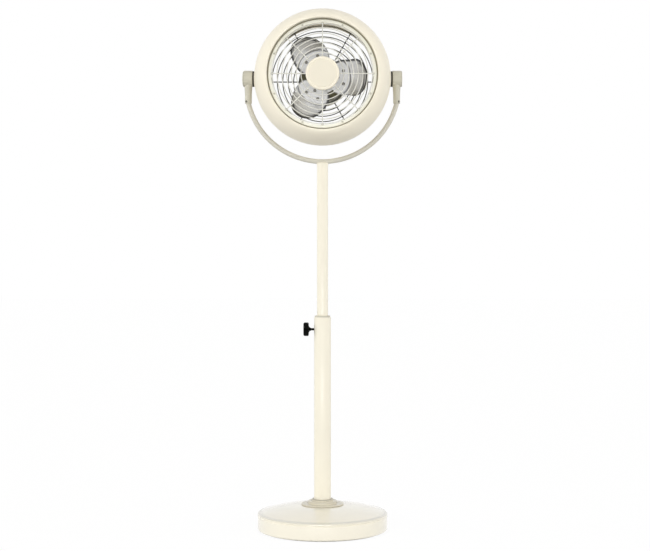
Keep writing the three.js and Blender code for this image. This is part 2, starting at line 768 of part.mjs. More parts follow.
for (const [side, label] of [[-1, 'left'], [1, 'right']]) {
  const turnOut = (geometry) => (side < 0 ? mirrored(geometry) : geometry);
  const cap = side < 0 ? pivotCap(domeCapHeight, true) : pivotCap(flatCapHeight, false);
  const washer = alongX(ring(pivotBoltRadius + runningGap, pivotBlockRadius - pivotBlockBevel, washerInner,
    washerOuter));
  const screwEnd = yokeTubeRadius + sleeveFrontWall + setScrewProud;
  const setScrew = setScrewBar(side, setScrewRadius, yokeTubeRadius + gap, screwEnd);
  piece(mast, `pivot_housing_${label}`, pivotHousing(side), greyCream);
  piece(mast, `pivot_cap_${label}`, turnOut(cap).translate(0, 0, tiltZ), greyCream);
  piece(mast, `set_screw_${label}`, setScrew, steel);
  piece(head, `friction_washer_${label}`, turnOut(washer), rubber);
  piece(head, `pivot_bolt_${label}`, turnOut(pivotBolt()), steel);
  piece(head, `pivot_plate_${label}`, turnOut(pivotPlate()), steel);
  piece(head, `pivot_nut_${label}`, turnOut(pivotNut()), steel);
}

// ---------------------------------------------------------------- head shells

head.position.z = tiltZ;

// Outside: a big roll from the seam over the crown to the foremost circle, then the lip turned in. Inside: a
// rebate for the rear housing's tongue.
function frontBezel() {
  const rollDepth = ringCrownDepth - ringFrontDepth;
  const innerRoll = ringRoll - ringWall;
  const innerRollDepth = rollDepth - ringWall;
  const innerStart = -86;
  const innerEnd = -17;
  const rebate = seamRadius - seamWall;
  return turned([
    [seamRadius, seamDepth],
    ...arc(ringFrontRadius, ringCrownDepth, ringRoll, rollDepth, 0, -90, 6, rollFullness),
    ...arc(lipRadius + lipRound, ringFrontDepth + lipRound, lipRound, lipRound, -90, -180, 2),
    [lipRadius, lipDepth], [lipRadius + lipThickness, lipDepth],
    ...arc(ringFrontRadius, ringCrownDepth, innerRoll, innerRollDepth, innerStart, innerEnd, 3, rollFullness),
    [rebate, seamDepth - tongueLength - tongueFit], [rebate, seamDepth],
  ], ringFacets);
}

// A bowl from the seam back to the rear rim, with a tongue that reaches forward into the bezel and a flat pad
// on each side for its pivot.
function rearHousing() {
  const seam = seamDepth + gap;
  const tongue = seamRadius - seamWall - tongueFit;
  const tongueInner = tongue - ringWall;
  const innerRoll = rearRoll - ringWall;
  const innerDepth = rearDepth - ringWall;
  const outside = arc(rearRadius, ringCrownDepth, rearRoll, rearDepth - ringCrownDepth, rearRollStart, 90, 5,
    rollFullness);
  const inside = arc(rearRadius, ringCrownDepth, innerRoll, innerDepth - ringCrownDepth, 90, rearWallStart, 5,
    rollFullness);
  const shell = turned([
    [tongueInner, seam - tongueLength], [tongue, seam - tongueLength], [tongue, seam], [seamRadius, seam],
    ...outside, [rearLipRadius, rearDepth], [rearLipRadius, innerDepth], ...inside,
    [tongueInner, seam + tongueRoot],
  ], ringFacets);
  const hollow = turned([[0, seam - tongueLength], [tongueInner, seam - tongueLength],
    [tongueInner, seam + tongueRoot], ...inside.reverse(), [0, innerDepth]], ringFacets);
  const padInner = seamRadius - ringWall - padRoot;
  const pad = cut(barX(pivotBlockRadius - pivotBlockBevel, padInner, padOuter, poleFacets), hollow);
  const bolt = barX(pivotBoltRadius + gap, padInner - pivotBlockRadius, padOuter + overrun);
  return cut(join(shell, pad, mirrored(pad)), bolt, mirrored(bolt));
}

// A flat flange round the wires with a short skirt behind the bezel's edge.
function grilleFrame() {
  const back = frameDepth + frameThickness;
  const skirtInner = frameOuter - frameThickness;
  return turned([
    [frameInner, frameDepth], [frameOuter, frameDepth], [frameOuter, frameDepth + frameSkirt],
    [skirtInner, frameDepth + frameSkirt], [skirtInner, back], [frameInner, back],
  ], ringFacets);
}

piece(head, 'front_bezel', frontBezel(), creamPlastic);
piece(head, 'rear_housing', rearHousing(), creamPlastic);
piece(head, 'grille_frame', grilleFrame(), creamPaint);

// ---------------------------------------------------------------- grilles

// A wire bent to a circle about the Y axis.
function wireRing(radius, wire, depth) {
  return turned(section(radius, depth, wire, wire, wireSides), grilleFacets);
}

// A straight wire from one radius to another, lying across the axis at an angle from +X.
function spoke(wire, from, to, depth, degrees) {
  return barX(wire, from, to, spokeSides).translate(0, depth, 0).rotateY(-radians(degrees));
}

// Wire circles and spokes welded to each other and to a plate.
function wireGrille({
  rings, first, pitch, wire, ringDepth, spokes, spokeWire, spokeDepth, inner, outer, plate,
}) {
  const parts = [];
  for (let i = 0; i < rings; i += 1) parts.push(wireRing(first + i * pitch, wire, ringDepth));
  for (let i = 0; i < spokes; i += 1) {
    parts.push(spoke(spokeWire, inner, outer, spokeDepth, (360 * i) / spokes));
  }
  return join(plate, ...parts);
}

const hubPlateRadius = badgeRadius - hubPlateInset;
const spokeDepth = frameDepth - gap - frontSpokeRadius;
const spokeBack = spokeDepth + frontSpokeRadius;
const hubPlateFront = spokeBack - plateSink;
const hubPlateBack = hubPlateFront + hubPlateThickness;

piece(head, 'front_grille', wireGrille({
  rings: frontRingCount, first: frontRingFirst, pitch: frontRingPitch, wire: frontWireRadius,
  ringDepth: spokeBack + frontWireRadius - weldSink,
  spokes: frontSpokeCount, spokeWire: frontSpokeRadius, spokeDepth,
  inner: hubPlateRadius - hubSpokeLanding, outer: frameInner + frontSpokeLanding,
  plate: ring(badgeScrewRadius + gap, hubPlateRadius, hubPlateFront, hubPlateBack),
}), wireCream);

const badgeBack = spokeDepth - frontSpokeRadius - gap;
const badgeFront = badgeBack - badgeHeight;
const badgeInside = badgeFront + badgeWall;

function hubBadge() {
  const screwBore = badgeScrewRadius + gap;
  const boreEnd = badgeInside - overlap;
  const rim = badgeRadius - badgeWall;
  return turned([
    [0, boreEnd], [screwBore, boreEnd], [screwBore, badgeBack], [badgeBossRadius, badgeBack],
    [badgeBossRadius, badgeInside], [rim, badgeInside], [rim, badgeBack], [badgeRadius, badgeBack],
    ...arc(badgeRadius - badgeRound, badgeFront + badgeRound, badgeRound, badgeRound, 0, -90, 2),
    [badgeGrooveRadius + badgeGrooveHalfWidth, badgeFront], [badgeGrooveRadius, badgeFront + badgeGroove],
    [badgeGrooveRadius - badgeGrooveHalfWidth, badgeFront], [0, badgeFront],
  ]);
}

function badgeScrew() {
  const start = hubPlateBack + gap;
  const end = start + badgeScrewHeadHeight;
  const headPart = turned([[0, start], [badgeScrewHeadRadius, start],
    [badgeScrewHeadRadius, start + badgeScrewHeadEdge], [badgeScrewHeadRadius / 2, end], [0, end]], tinyFacets);
  return join(headPart, ring(0, badgeScrewRadius, badgeInside, start + badgeScrewHeadEdge / 2, tinyFacets));
}

piece(head, 'hub_badge', hubBadge(), creamPlastic);
piece(head, 'badge_screw', badgeScrew(), steel);

const rearSpokeDepth = rearPlateDepth + rearPlateThickness + rearSpokeRadius - plateSink;
const rearRingLast = rearRingFirst + rearRingPitch * (rearRingCount - 1);

piece(head, 'rear_grille', wireGrille({
  rings: rearRingCount, first: rearRingFirst, pitch: rearRingPitch, wire: rearWireRadius,
  ringDepth: rearSpokeDepth - rearSpokeRadius - rearWireRadius + weldSink,
  spokes: rearSpokeCount, spokeWire: rearSpokeRadius, spokeDepth: rearSpokeDepth,
  inner: rearPlateOuter - rearSpokeLanding, outer: rearRingLast + rearWireRadius,
  plate: ring(rearPlateInner, rearPlateOuter, rearPlateDepth, rearPlateDepth + rearPlateThickness),
}), darkWire);

// ---------------------------------------------------------------- blades and rotor

// Half the blade's width at a distance from the shaft: widest in the middle, rounded at the tip.
function bladeHalf(along) {
  if (along < bladeWidest) {
    const inward = (bladeWidest - along) / (bladeWidest - bladeRoot);
    return bladeHalfWidth - bladeRootNarrowing * inward ** 3;
  }
  const outward = (along - bladeWidest) / (bladeTip - bladeWidest);
  return bladeHalfWidth * Math.sqrt(Math.max(0, 1 - outward ** bladeTipExponent));
}

// Depth of the blade's sheet at a place along it and across it: flat at the rivets, pitched and dished outside.
function bladeDepth(along, across) {
  const twist = THREE.MathUtils.smoothstep(along, bladeTwistStart, bladeTwistEnd);
  const dish = (across / bladeHalfWidth) ** 2 - 0.4;
  return bladePlane - twist * (bladePitchRatio * across + bladeCamber * dish);
}

const rivetPlaces = [[rivetInnerRadius, 0]];
for (const side of [-1, 1]) {
  const angle = radians(rivetOuterAngle) * side;
  rivetPlaces.push([rivetOuterRadius * Math.cos(angle), rivetOuterRadius * Math.sin(angle)]);
}

// The blade lies along +X with its width along Z, so that it faces the front along -Y. Its two skins are grids
// of the same rows and columns, joined round the rim.
function blade() {
  const positions = [];
  const faces = [];
  const length = bladeTip - bladeTipLand - bladeRoot;
  for (const offset of [-bladeThickness / 2, bladeThickness / 2]) {
    for (let i = 0; i <= bladeRows; i += 1) {
      const along = bladeRoot + length * Math.sin((Math.PI / 2) * (i / bladeRows)) ** bladeRowCrowding;
      for (let j = 0; j <= bladeColumns; j += 1) {
        const across = bladeHalf(along) * ((2 * j) / bladeColumns - 1);
        positions.push(along, bladeDepth(along, across) + offset, across);
      }
    }
  }
  const stride = bladeColumns + 1;
  const layer = (bladeRows + 1) * stride;
  const quad = (a, b, c, d) => faces.push(a, b, c, a, c, d);
  for (let i = 0; i < bladeRows; i += 1) {
    for (let j = 0; j < bladeColumns; j += 1) {
      const a = i * stride + j;
      const b = a + stride;
      quad(a, b, b + 1, a + 1);
      quad(layer + a, layer + a + 1, layer + b + 1, layer + b);
    }
  }
  const rim = [];
  for (let j = 0; j < bladeColumns; j += 1) rim.push(j);
  for (let i = 0; i < bladeRows; i += 1) rim.push(i * stride + bladeColumns);
  for (let j = bladeColumns; j > 0; j -= 1) rim.push(bladeRows * stride + j);
  for (let i = bladeRows; i > 0; i -= 1) rim.push(i * stride);
  rim.forEach((a, k) => {
    const b = rim[(k + 1) % rim.length];
    quad(a, b, layer + b, layer + a);
  });
  const sheet = new THREE.BufferGeometry();
  sheet.setAttribute('position', new THREE.Float32BufferAttribute(positions, 3));
  sheet.setIndex(faces);
  const holes = rivetPlaces.map(([x, z]) =>
    ring(0, rivetRadius + gap, bladePlane - overrun, bladePlane + overrun, tinyFacets).translate(x, 0, z));
  return cut(sheet, ...holes);
}

const spiderFront = bladePlane + bladeThickness / 2 + gap;
const spiderBack = spiderFront + spiderThickness;
const hubFront = bladePlane - spiderHubFront;
const hubBack = bladePlane + spiderHubBack;

// One rivet through a blade: its shank starts in the spider and its head stands in front of the blade.
function rivet() {
  const headBack = bladePlane - bladeThickness / 2 - gap;
  const headFront = headBack - rivetHeadHeight;
  const shankEnd = spiderFront + overlap;
  return turned([[0, shankEnd], [rivetRadius, shankEnd], [rivetRadius, headBack], [rivetHeadRadius, headBack],
    [rivetHeadTopRadius, headFront], [0, headFront]], tinyFacets);
}

function bladeSpider() {
  const parts = [ring(0, spiderHubRadius, hubFront, hubBack, smallFacets)];
  for (let k = 0; k < bladeCount; k += 1) {
    const turn = (2 * Math.PI * k) / bladeCount;
    const lobe = ring(0, spiderLobeRadius, spiderFront, spiderBack, smallFacets);
    parts.push(lobe.translate(spiderLobeCentre, 0, 0).rotateY(-turn));
    for (const [x, z] of rivetPlaces) parts.push(rivet().translate(x, 0, z).rotateY(-turn));
  }
  const whole = join(ring(0, spiderDiscRadius, spiderFront, spiderBack), ...parts);
  return cut(whole, ring(0, shaftRadius + gap, hubFront - overrun, hubBack + overrun, smallFacets));
}

for (let k = 0; k < bladeCount; k += 1) {
  const turn = (2 * Math.PI * k) / bladeCount;
  piece(rotor, `blade_${k + 1}`, blade().rotateY(-turn), bladeMetal);
}
piece(rotor, 'blade_spider', bladeSpider(), bladeMetal);

const nutBack = hubFront - gap;
const nutFront = nutBack - nutLength;
const shaftFrontEnd = nutFront + nutEndWall;

function bladeNut() {
  const crown = turned([[0, nutBack], [nutRadius, nutBack], [nutRadius, nutBack - nutFlatLength],
    [nutCrownRadius, nutFront], [0, nutFront]], hexagon);
  return cut(crown, ring(0, shaftRadius + gap, shaftFrontEnd - gap, nutBack + overrun, smallFacets));
}

// ---------------------------------------------------------------- motor, from front to back

const motorFront = bladePlane + motorBehindBlades;
const motorRear = rearPlateDepth - 2 * gap;
const motorEdge = motorRadius - motorChamfer;
const motorInner = motorRadius - motorShell;
const stackFront = motorFront + motorShell + windingRoom + windingLength + gap;
const stackRear = motorRear - motorShell - windingRoom - windingLength - gap;
const motorSplit = stackFront + coverOnStack;
const bearingSeat = bearingRadius + gap;
const bearingSeatOuter = bearingSeat + bearingSeatWall;
const frontBearingStart = motorFront + bearingShelf + gap;
const rearBearingEnd = motorRear - bearingRearShelf - gap;

piece(rotor, 'blade_nut', bladeNut(), steel);
piece(rotor, 'motor_shaft', ring(0, shaftRadius, shaftFrontEnd, motorRear + shaftStub, smallFacets), steel);
piece(rotor, 'rotor_core', ring(shaftRadius + gap, rotorRadius, stackFront, stackRear, motorFacets), castIron);

function motorFrontCover() {
  const inside = motorFront + motorShell;
  const hole = shaftRadius + shaftRoom;
  const seatStart = frontBearingStart - gap;
  const seatEnd = frontBearingStart + bearingLength;
  return turned([
    [hole, motorFront], [motorEdge, motorFront], [motorRadius, motorFront + motorChamfer],
    [motorRadius, motorSplit], [motorInner, motorSplit], [motorInner, motorFront + motorChamfer + gap],
    [motorEdge - gap, inside], [bearingSeatOuter, inside], [bearingSeatOuter, seatEnd],
    [bearingSeat, seatEnd], [bearingSeat, seatStart], [hole, seatStart],
  ], motorFacets);
}

function motorRearBracket() {
  const start = motorSplit + gap;
  const inside = motorRear - motorShell;
  const hole = shaftRadius + shaftRoom;
  const seatBack = motorRear - bearingRearShelf;
  const seatFront = seatBack - bearingLength;
  return turned([
    [motorInner, start], [motorRadius, start], [motorRadius, motorRear - motorChamfer], [motorEdge, motorRear],
    [hole, motorRear], [hole, seatBack], [bearingSeat, seatBack], [bearingSeat, seatFront],
    [bearingSeatOuter, seatFront], [bearingSeatOuter, inside], [motorEdge - gap, inside],
    [motorInner, motorRear - motorChamfer - gap],
  ], motorFacets);
}

// Laminated stack with open slots towards the rotor.
function statorCore() {
  const inner = rotorRadius + airGap;
  const slotStart = inner - overlap;
  const middle = (stackFront + stackRear) / 2;
  const slots = [];
  for (let i = 0; i < statorSlots; i += 1) {
    const slot = new THREE.BoxGeometry(statorSlotDepth, stackRear - stackFront + 2 * overrun, statorSlotWidth);
    slot.translate(slotStart + statorSlotDepth / 2, middle, 0);
    slots.push(slot.rotateY((2 * Math.PI * (i + 0.5)) / statorSlots));
  }
  return cut(ring(inner, motorInner - gap, stackFront, stackRear, motorFacets), ...slots);
}

function winding(from, to) {
  const middle = (windingInner + windingOuter) / 2;
  const half = (windingOuter - windingInner) / 2;
  return turned(section(middle, (from + to) / 2, half, (to - from) / 2, windingSides), motorFacets);
}

function bearing(from) {
  return ring(shaftRadius + runningGap, bearingRadius, from, from + bearingLength - gap, smallFacets);
}

piece(head, 'motor_front_cover', motorFrontCover(), motorPaint);
piece(head, 'motor_rear_bracket', motorRearBracket(), motorPaint);
piece(head, 'stator_core', statorCore(), castIron);
piece(head, 'winding_front', winding(stackFront - gap - windingLength, stackFront - gap), copper);
piece(head, 'winding_rear', winding(stackRear + gap, stackRear + gap + windingLength), copper);
piece(head, 'bearing_front', bearing(frontBearingStart), bronze);
piece(head, 'bearing_rear', bearing(rearBearingEnd - bearingLength + gap), bronze);

// ---------------------------------------------------------------- rear cover, switch and speed knob

const coverFront = rearSpokeDepth + rearSpokeRadius + gap;
const coverBack = rearDepth + coverProud;
const coverShoulder = coverBack - coverShoulderLength;
const glandDepth = coverShoulder - glandBeforeShoulder;
const switchBack = coverBack - coverWall - gap;
const switchFront = switchBack - switchDepth;
const knobFront = coverBack + 2 * gap;
const knobBack = knobFront + speedKnobLength;
const knobBoreEnd = knobFront + speedKnobBoreDepth;

function rearCover() {
  const shoulder = (wall, from, to) => arc(coverFlatRadius, coverShoulder, coverRadius - wall - coverFlatRadius,
    coverShoulderLength - wall, from, to, 3);
  const hole = switchBushRadius + gap;
  const shell = turned([
    [coverRadius - coverWall, coverFront], [coverRadius, coverFront], ...shoulder(0, 0, 90),
    [hole, coverBack], [hole, coverBack - coverWall], ...shoulder(coverWall, 90, 0),
  ], motorFacets);
  const glandHole = ring(0, glandNeckRadius + gap, -coverRadius - overrun, -coverRadius + coverWall + overrun,
    smallFacets);
  return cut(shell, alongZ(glandHole).translate(0, glandDepth, 0));
}

function speedSwitch() {
  const box = new THREE.BoxGeometry(switchSize, switchDepth, switchSize);
  box.translate(0, (switchFront + switchBack) / 2, 0);
  const bush = ring(0, switchBushRadius, switchBack - overlap, coverBack + gap, smallFacets);
  const boreStart = switchFront + switchFloor;
  const bore = ring(0, switchShaftRadius + runningGap, boreStart, coverBack + overrun, smallFacets);
  return cut(join(box, bush), bore);
}

function runCapacitor() {
  const can = new THREE.BoxGeometry(capacitorWidth, capacitorDepth, capacitorHeight);
  const rise = coverRadius - coverWall - capacitorRoom - capacitorHeight / 2;
  return can.translate(0, coverFront + capacitorSetback + capacitorDepth / 2, rise);
}

function cordGland() {
  const rimTop = -coverRadius - gap;
  const bottom = rimTop - glandLength;
  const neckTop = -coverRadius + coverWall + glandInside;
  return alongZ(turned([
    [glandBore, bottom], [glandRadius - glandTaper, bottom], [glandRadius, rimTop - glandRimLength],
    [glandRadius, rimTop], [glandNeckRadius, rimTop], [glandNeckRadius, neckTop], [glandBore, neckTop],
  ], smallFacets)).translate(0, glandDepth, 0);
}

function speedKnob() {
  const grip = fluted(speedKnobRadius, knobFront, knobBack, speedKnobFlutes, speedKnobFluteRadius,
    speedKnobBevel);
  return cut(grip, ring(0, switchShaftRadius + gap, knobFront - overrun, knobBoreEnd, smallFacets));
}

const switchShaftStart = switchFront + switchFloor + gap;
const switchShaft = ring(0, switchShaftRadius, switchShaftStart, knobBoreEnd - gap, smallFacets);

piece(head, 'rear_cover', rearCover(), creamPlastic);
piece(head, 'speed_switch', speedSwitch(), blackPlastic);
piece(head, 'run_capacitor', runCapacitor(), blackPlastic);
piece(head, 'cord_gland', cordGland(), blackPlastic);
piece(head, 'switch_shaft', switchShaft, steel);
piece(head, 'speed_knob', speedKnob(), blackPlastic);

export default fan;
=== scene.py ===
"""Dresses a pedestal air circulator: a ringed fan head hung in a bent-tube yoke on a telescopic pole.

Shapes are worked out in millimetres in the frame's axes, +Z up and the fan blowing towards -Y, and become
metres when they are put into a mesh. Depths of the head's pieces are measured along Y from the tilt axis.
"""

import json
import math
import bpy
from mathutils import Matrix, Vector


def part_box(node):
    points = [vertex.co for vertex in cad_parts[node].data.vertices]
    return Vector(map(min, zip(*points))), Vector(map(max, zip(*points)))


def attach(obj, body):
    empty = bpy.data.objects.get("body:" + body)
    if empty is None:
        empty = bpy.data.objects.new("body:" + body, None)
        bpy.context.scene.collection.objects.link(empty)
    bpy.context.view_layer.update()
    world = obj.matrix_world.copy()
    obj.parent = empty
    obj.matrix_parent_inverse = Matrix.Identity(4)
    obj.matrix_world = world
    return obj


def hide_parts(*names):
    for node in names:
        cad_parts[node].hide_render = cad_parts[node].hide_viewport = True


bl_info = {
    "name": "Pedestal air circulator",
    "version": (1, 0, 0),
    "blender": (4, 5, 0),
    "location": "3D View > Sidebar > Circulator",
    "description": "Builds the shells, grilles, blades, tubes and knobs of a pedestal air circulator",
    "category": "Add Mesh",
}

import bpy
import numpy as np

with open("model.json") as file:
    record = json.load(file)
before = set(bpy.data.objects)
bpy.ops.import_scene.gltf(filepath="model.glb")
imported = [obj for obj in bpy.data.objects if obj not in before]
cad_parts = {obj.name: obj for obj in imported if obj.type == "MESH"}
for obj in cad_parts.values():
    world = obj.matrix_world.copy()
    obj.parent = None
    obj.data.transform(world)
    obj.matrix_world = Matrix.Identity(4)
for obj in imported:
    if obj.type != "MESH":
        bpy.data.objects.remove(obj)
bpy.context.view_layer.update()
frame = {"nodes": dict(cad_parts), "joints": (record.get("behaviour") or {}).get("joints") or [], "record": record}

MM = 0.001
X_AXIS, Y_AXIS, Z_AXIS = np.eye(3)
FULL_TURN = 2 * math.pi


def corners(node):
    """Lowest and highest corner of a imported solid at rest, in millimetres."""
    low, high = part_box(node)
    return np.array(low) / MM, np.array(high) / MM


def middle(node):
    """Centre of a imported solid's box, in millimetres."""
    return sum(corners(node)) / 2


def linear(code):
    """Linear red, green and blue of a six-digit screen colour."""
    screen = np.array([int(code[i:i + 2], 16) for i in (0, 2, 4)]) / 255
    return tuple(np.where(screen <= 0.04045, screen / 12.92, ((screen + 0.055) / 1.055) ** 2.4))


TILT = middle("hub_badge")                 # a point of the fan's axis
TILT[1] = 0.0
BASE_RADIUS = corners("base_cover")[1][0]
DOME_TOP = corners("base_cover")[1][2]
OUTER_TUBE = corners("lower_tube")
INNER_TUBE = corners("upper_tube")
RING = corners("front_bezel")
BOWL = corners("rear_housing")


# ---------------------------------------------------------------- settings


def length(name, description, default):
    """A length setting, its default given in millimetres."""
    return bpy.props.FloatProperty(name=name, description=description, default=float(default) * MM,
                                   min=0.0, precision=5, unit="LENGTH")


def count(name, description, default):
    """A whole-number setting."""
    return bpy.props.IntProperty(name=name, description=description, default=default, min=1)


def colour(name, description, code):
    """A colour setting, its default given as a six-digit screen colour."""
    return bpy.props.FloatVectorProperty(name=name, description=description, default=linear(code),
                                         min=0.0, max=1.0, size=3, subtype="COLOR")


class CirculatorSizes(bpy.types.PropertyGroup):
    """Sizes of the dressed pieces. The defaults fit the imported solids."""

    base_radius: length("Base radius", "Outside of the round base", BASE_RADIUS)
    base_edge: length("Base edge", "Radius of the rolled edge of the base", 4.0)
    dome_bulge: length("Dome bulge", "How far the base's dome stands above a straight cone", 3.5)
    outer_tube_radius: length("Outer tube radius", "Outside of the fixed tube", OUTER_TUBE[1][0])
    inner_tube_radius: length("Inner tube radius", "Outside of the sliding tube", INNER_TUBE[1][0])
    ring_crown: length("Ring crown", "Radius of the head ring at its widest", RING[1][0])
    ring_roll: length("Ring roll", "Foremost circle of the ring inside its crown", 28.4)
    bowl_roll: length("Bowl roll", "Start of the flat rear rim inside the seam", 21.8)
    front_wire: length("Front wire", "Radius of the front grille's wire", 1.1)
    rear_wire: length("Rear wire", "Radius of the rear grille's wire", 1.1)
    blade_bead: length("Blade bead", "Height of the bead pressed into each blade", 0.9)
    blade_curl: length("Blade curl", "How far the blade's rim curls back", 2.2)
    front_rings: count("Front rings", "Wire circles of the front grille", 7)
    front_spokes: count("Front spokes", "Radial wires of the front grille", 8)
    rear_rings: count("Rear rings", "Wire circles of the rear grille", 6)
    rear_spokes: count("Rear spokes", "Radial wires of the rear grille", 6)
    knob_flutes: count("Lock knob flutes", "Finger hollows round the lock knob", 8)
    speed_flutes: count("Speed knob flutes", "Finger hollows round the speed knob", 12)


class CirculatorColours(bpy.types.PropertyGroup):
    """Colours of the finishes."""

    cream_paint: colour("Cream paint", "Powder coat of base, collar and tubes", "F5EFDD")
    collar_paint: colour("Collar paint", "Stepped collar at the pole's foot", "D6CFBB")
    cream_shell: colour("Cream shell", "Moulded ring, bowl, badge and cover", "F7F0DD")
    badge_inner: colour("Badge face", "Face of the hub badge inside its groove", "EFE8D5")
    # Partly painted light: the flange is paler to lift the shade under the ring's lip.
    flange_paint: colour("Flange paint", "Flange round the front wires", "FAF8EA")
    grey_cream: colour("Grey cream", "Pivot castings", "CFCBBA")
    yoke_paint: colour("Yoke paint", "Bent tube of the yoke", "D6D2C4")
    light_wire: colour("Light wire", "Coated wire of the front grille", "E2E1D8")
    dark_wire: colour("Dark wire", "Coated wire of the rear grille", "55554D")
    blade_metal: colour("Blade metal", "Pressed aluminium blades", "F6F7FB")
    steel: colour("Steel", "Zinc plated screws, nuts and shaft", "A8A8A4")
    dark_steel: colour("Dark steel", "Blackened stud and set screws", "2B2A27")
    rivet: colour("Rivet", "Blade rivets", "8E8C86")
    painted_screw: colour("Painted screw", "Screws of the front flange", "CFCCBF")
    black_plastic: colour("Black plastic", "Knobs, switch and gland", "040504")
    rubber: colour("Rubber", "Foot ring and friction rings", "34322E")
    # Painted light: the foot ring is pale so that no dark line shows under the base's hem.
    foot_rubber: colour("Foot rubber", "Ring under the base", "C9C5B7")
    # Partly painted shade: the seal's dark olive stands for a seal ring and for the shadow in the gap between ring
    # lip and flange.
    seal: colour("Seal", "Seal between ring and flange", "948E7A")
    iron: colour("Iron", "Base weight, plate and motor cores", "4B4A47")
    # Painted shade: the motor's olive is the colour its cream cover shows in shadow behind the blades.
    motor_paint: colour("Motor paint", "Hammered enamel of the motor", "6B6950")
    copper: colour("Copper", "Motor windings", "A8622E")
    bronze: colour("Bronze", "Sintered bearings", "8D6B3C")
    nylon: colour("Nylon", "Slide guide", "B9B7AB")
    floor: colour("Floor", "Studio floor and backdrop", "FFFFFF")


def millimetres(context):
    """The size settings as plain numbers, lengths in millimetres."""
    sizes = context.scene.circulator_sizes
    values = {key: getattr(sizes, key) for key in CirculatorSizes.__annotations__}
    return {key: value / MM if isinstance(value, float) else value for key, value in values.items()}


# ---------------------------------------------------------------- shapes worked out on grids


def grid_faces(rows, columns, join_rows, join_columns):
    """Corner numbers of the four-sided faces between neighbouring points of a grid of rows and columns.
    A joined direction runs round from its last point to its first."""
    i, j = np.meshgrid(np.arange(rows if join_rows else rows - 1),
                       np.arange(columns if join_columns else columns - 1), indexing="ij")
    below, beside = (i + 1) % rows, (j + 1) % columns
    round_face = [(i, j), (below, j), (below, beside), (i, beside)]
    return np.stack([row * columns + column for row, column in round_face], -1).reshape(-1, 4)


def shell(points, join_rows=False, join_columns=True):
    """A closed surface from a grid of points. Coinciding points are welded, so a row that shrinks to a point
    becomes a pole. The enclosed volume, a sixth of the sum of the triple products, gives the side that faces
    out."""
    rows, columns, _ = points.shape
    faces = grid_faces(rows, columns, join_rows, join_columns)
    _, first, welded = np.unique(np.round(points.reshape(-1, 3), 4), axis=0, return_index=True,
                                 return_inverse=True)
    flat = points.reshape(-1, 3)[first]
    faces = welded.reshape(-1)[faces]
    a, b, c, d = (flat[faces[:, k]] for k in range(4))
    volume = (a * np.cross(b, c)).sum() + (a * np.cross(c, d)).sum()
    return flat, faces if volume > 0 else faces[:, ::-1]


def rounded(path, steps=6):
    """A closed outline from corners given as across, up and rounding radius. Each corner becomes a circular
    arc: a rational quadratic curve between the two tangent points, weighted with the sine of half the
    corner's angle."""
    path = np.array(path, float)
    place, radius = path[:, :2], path[:, 2:]
    back, ahead = (np.roll(place, shift, axis=0) - place for shift in (1, -1))
    back, ahead = (side / np.linalg.norm(side, axis=1, keepdims=True) for side in (back, ahead))
    half = np.arccos(np.clip((back * ahead).sum(1, keepdims=True), -1, 1)) / 2
    tangent, weight = radius / np.tan(half), np.sin(half)
    s = np.linspace(0, 1, steps + 1)[:, None, None]
    first, between, last = (1 - s) ** 2, 2 * s * (1 - s) * weight, s ** 2
    arcs = first * (place + back * tangent) + between * place + last * (place + ahead * tangent)
    outline = (arcs / (first + between + last)).transpose(1, 0, 2).reshape(-1, 2)
    return outline[np.linalg.norm(outline - np.roll(outline, 1, axis=0), axis=1) > 1e-5]


def quarter(centre, size, start, end, steps, fullness=2.0):
    """Points of an arc from one angle to another in degrees: centre plus size times the cosine and the sine,
    each to the power of two over the fullness with its sign kept. 2 gives an ellipse, and less draws its
    middle in."""
    angle = np.radians(np.linspace(start, end, steps + 1))
    way = np.stack([np.cos(angle), np.sin(angle)], -1)
    return np.array(centre) + np.array(size) * np.sign(way) * np.abs(way) ** (2 / fullness)


def smooth(value, low, high):
    """Rises from 0 at low to 1 at high without a corner: three squares less two cubes."""
    t = np.clip((value - low) / (high - low), 0, 1)
    return t * t * (3 - 2 * t)


def sharp(points):
    """Outline corners without rounding, for rounded()."""
    return [(r, h, 0) for r, h in points]


def angles(number):
    """Equal angles round one full turn, from zero."""
    return np.arange(number) * FULL_TURN / number


def across(axis):
    """Two unit vectors square to an axis and to each other."""
    helper = X_AXIS if abs(axis[0]) < 0.9 else Z_AXIS
    second = np.cross(axis, helper)
    second /= np.linalg.norm(second)
    return np.cross(second, axis), second


def turned(outline, axis=Z_AXIS, centre=(0, 0, 0), sides=96, swell=None):
    """Surface of revolution. Point (i, angle) is the centre, plus radius i times the unit vector at that
    angle round the axis, plus height i along the axis. swell gives the radius from radius, height and
    angle."""
    outline = np.array(outline, float)
    radius, height = outline[:, :1], outline[:, 1:]
    angle = angles(sides)
    first, second = across(axis)
    reach = swell(radius, height, angle) if swell else radius + 0 * angle
    ring = np.cos(angle)[:, None] * first + np.sin(angle)[:, None] * second
    points = np.array(centre) + reach[..., None] * ring + (height + 0 * angle)[..., None] * axis
    on_axis = radius[0, 0] < 1e-6 and radius[-1, 0] < 1e-6
    return shell(points, join_rows=not on_axis)


def on_fan(outline, sides, swell=None):
    """Surface of revolution about the fan's axis, heights measured along it from the tilt axis."""
    return turned(outline, Y_AXIS, TILT, sides, swell)


def rod(start, end, radius, sides=16, dome=1.0):
    """Straight round bar between two points with domed ends: a turned outline of two elliptical quarters."""
    start, end = np.array(start, float), np.array(end, float)
    reach = np.linalg.norm(end - start)
    cap = radius * dome
    outline = np.concatenate([quarter((0, cap), (radius, cap), -90, 0, 5),
                              quarter((0, reach - cap), (radius, cap), 0, 90, 5)])
    return turned(outline, (end - start) / reach, start, sides)


def hoop(radius, wire, depth, sides=160, wire_sides=12):
    """Wire circle: a small circle turned about the fan's axis."""
    angle = angles(wire_sides)
    return on_fan(np.stack([radius + wire * np.cos(angle), depth + wire * np.sin(angle)], -1), sides)


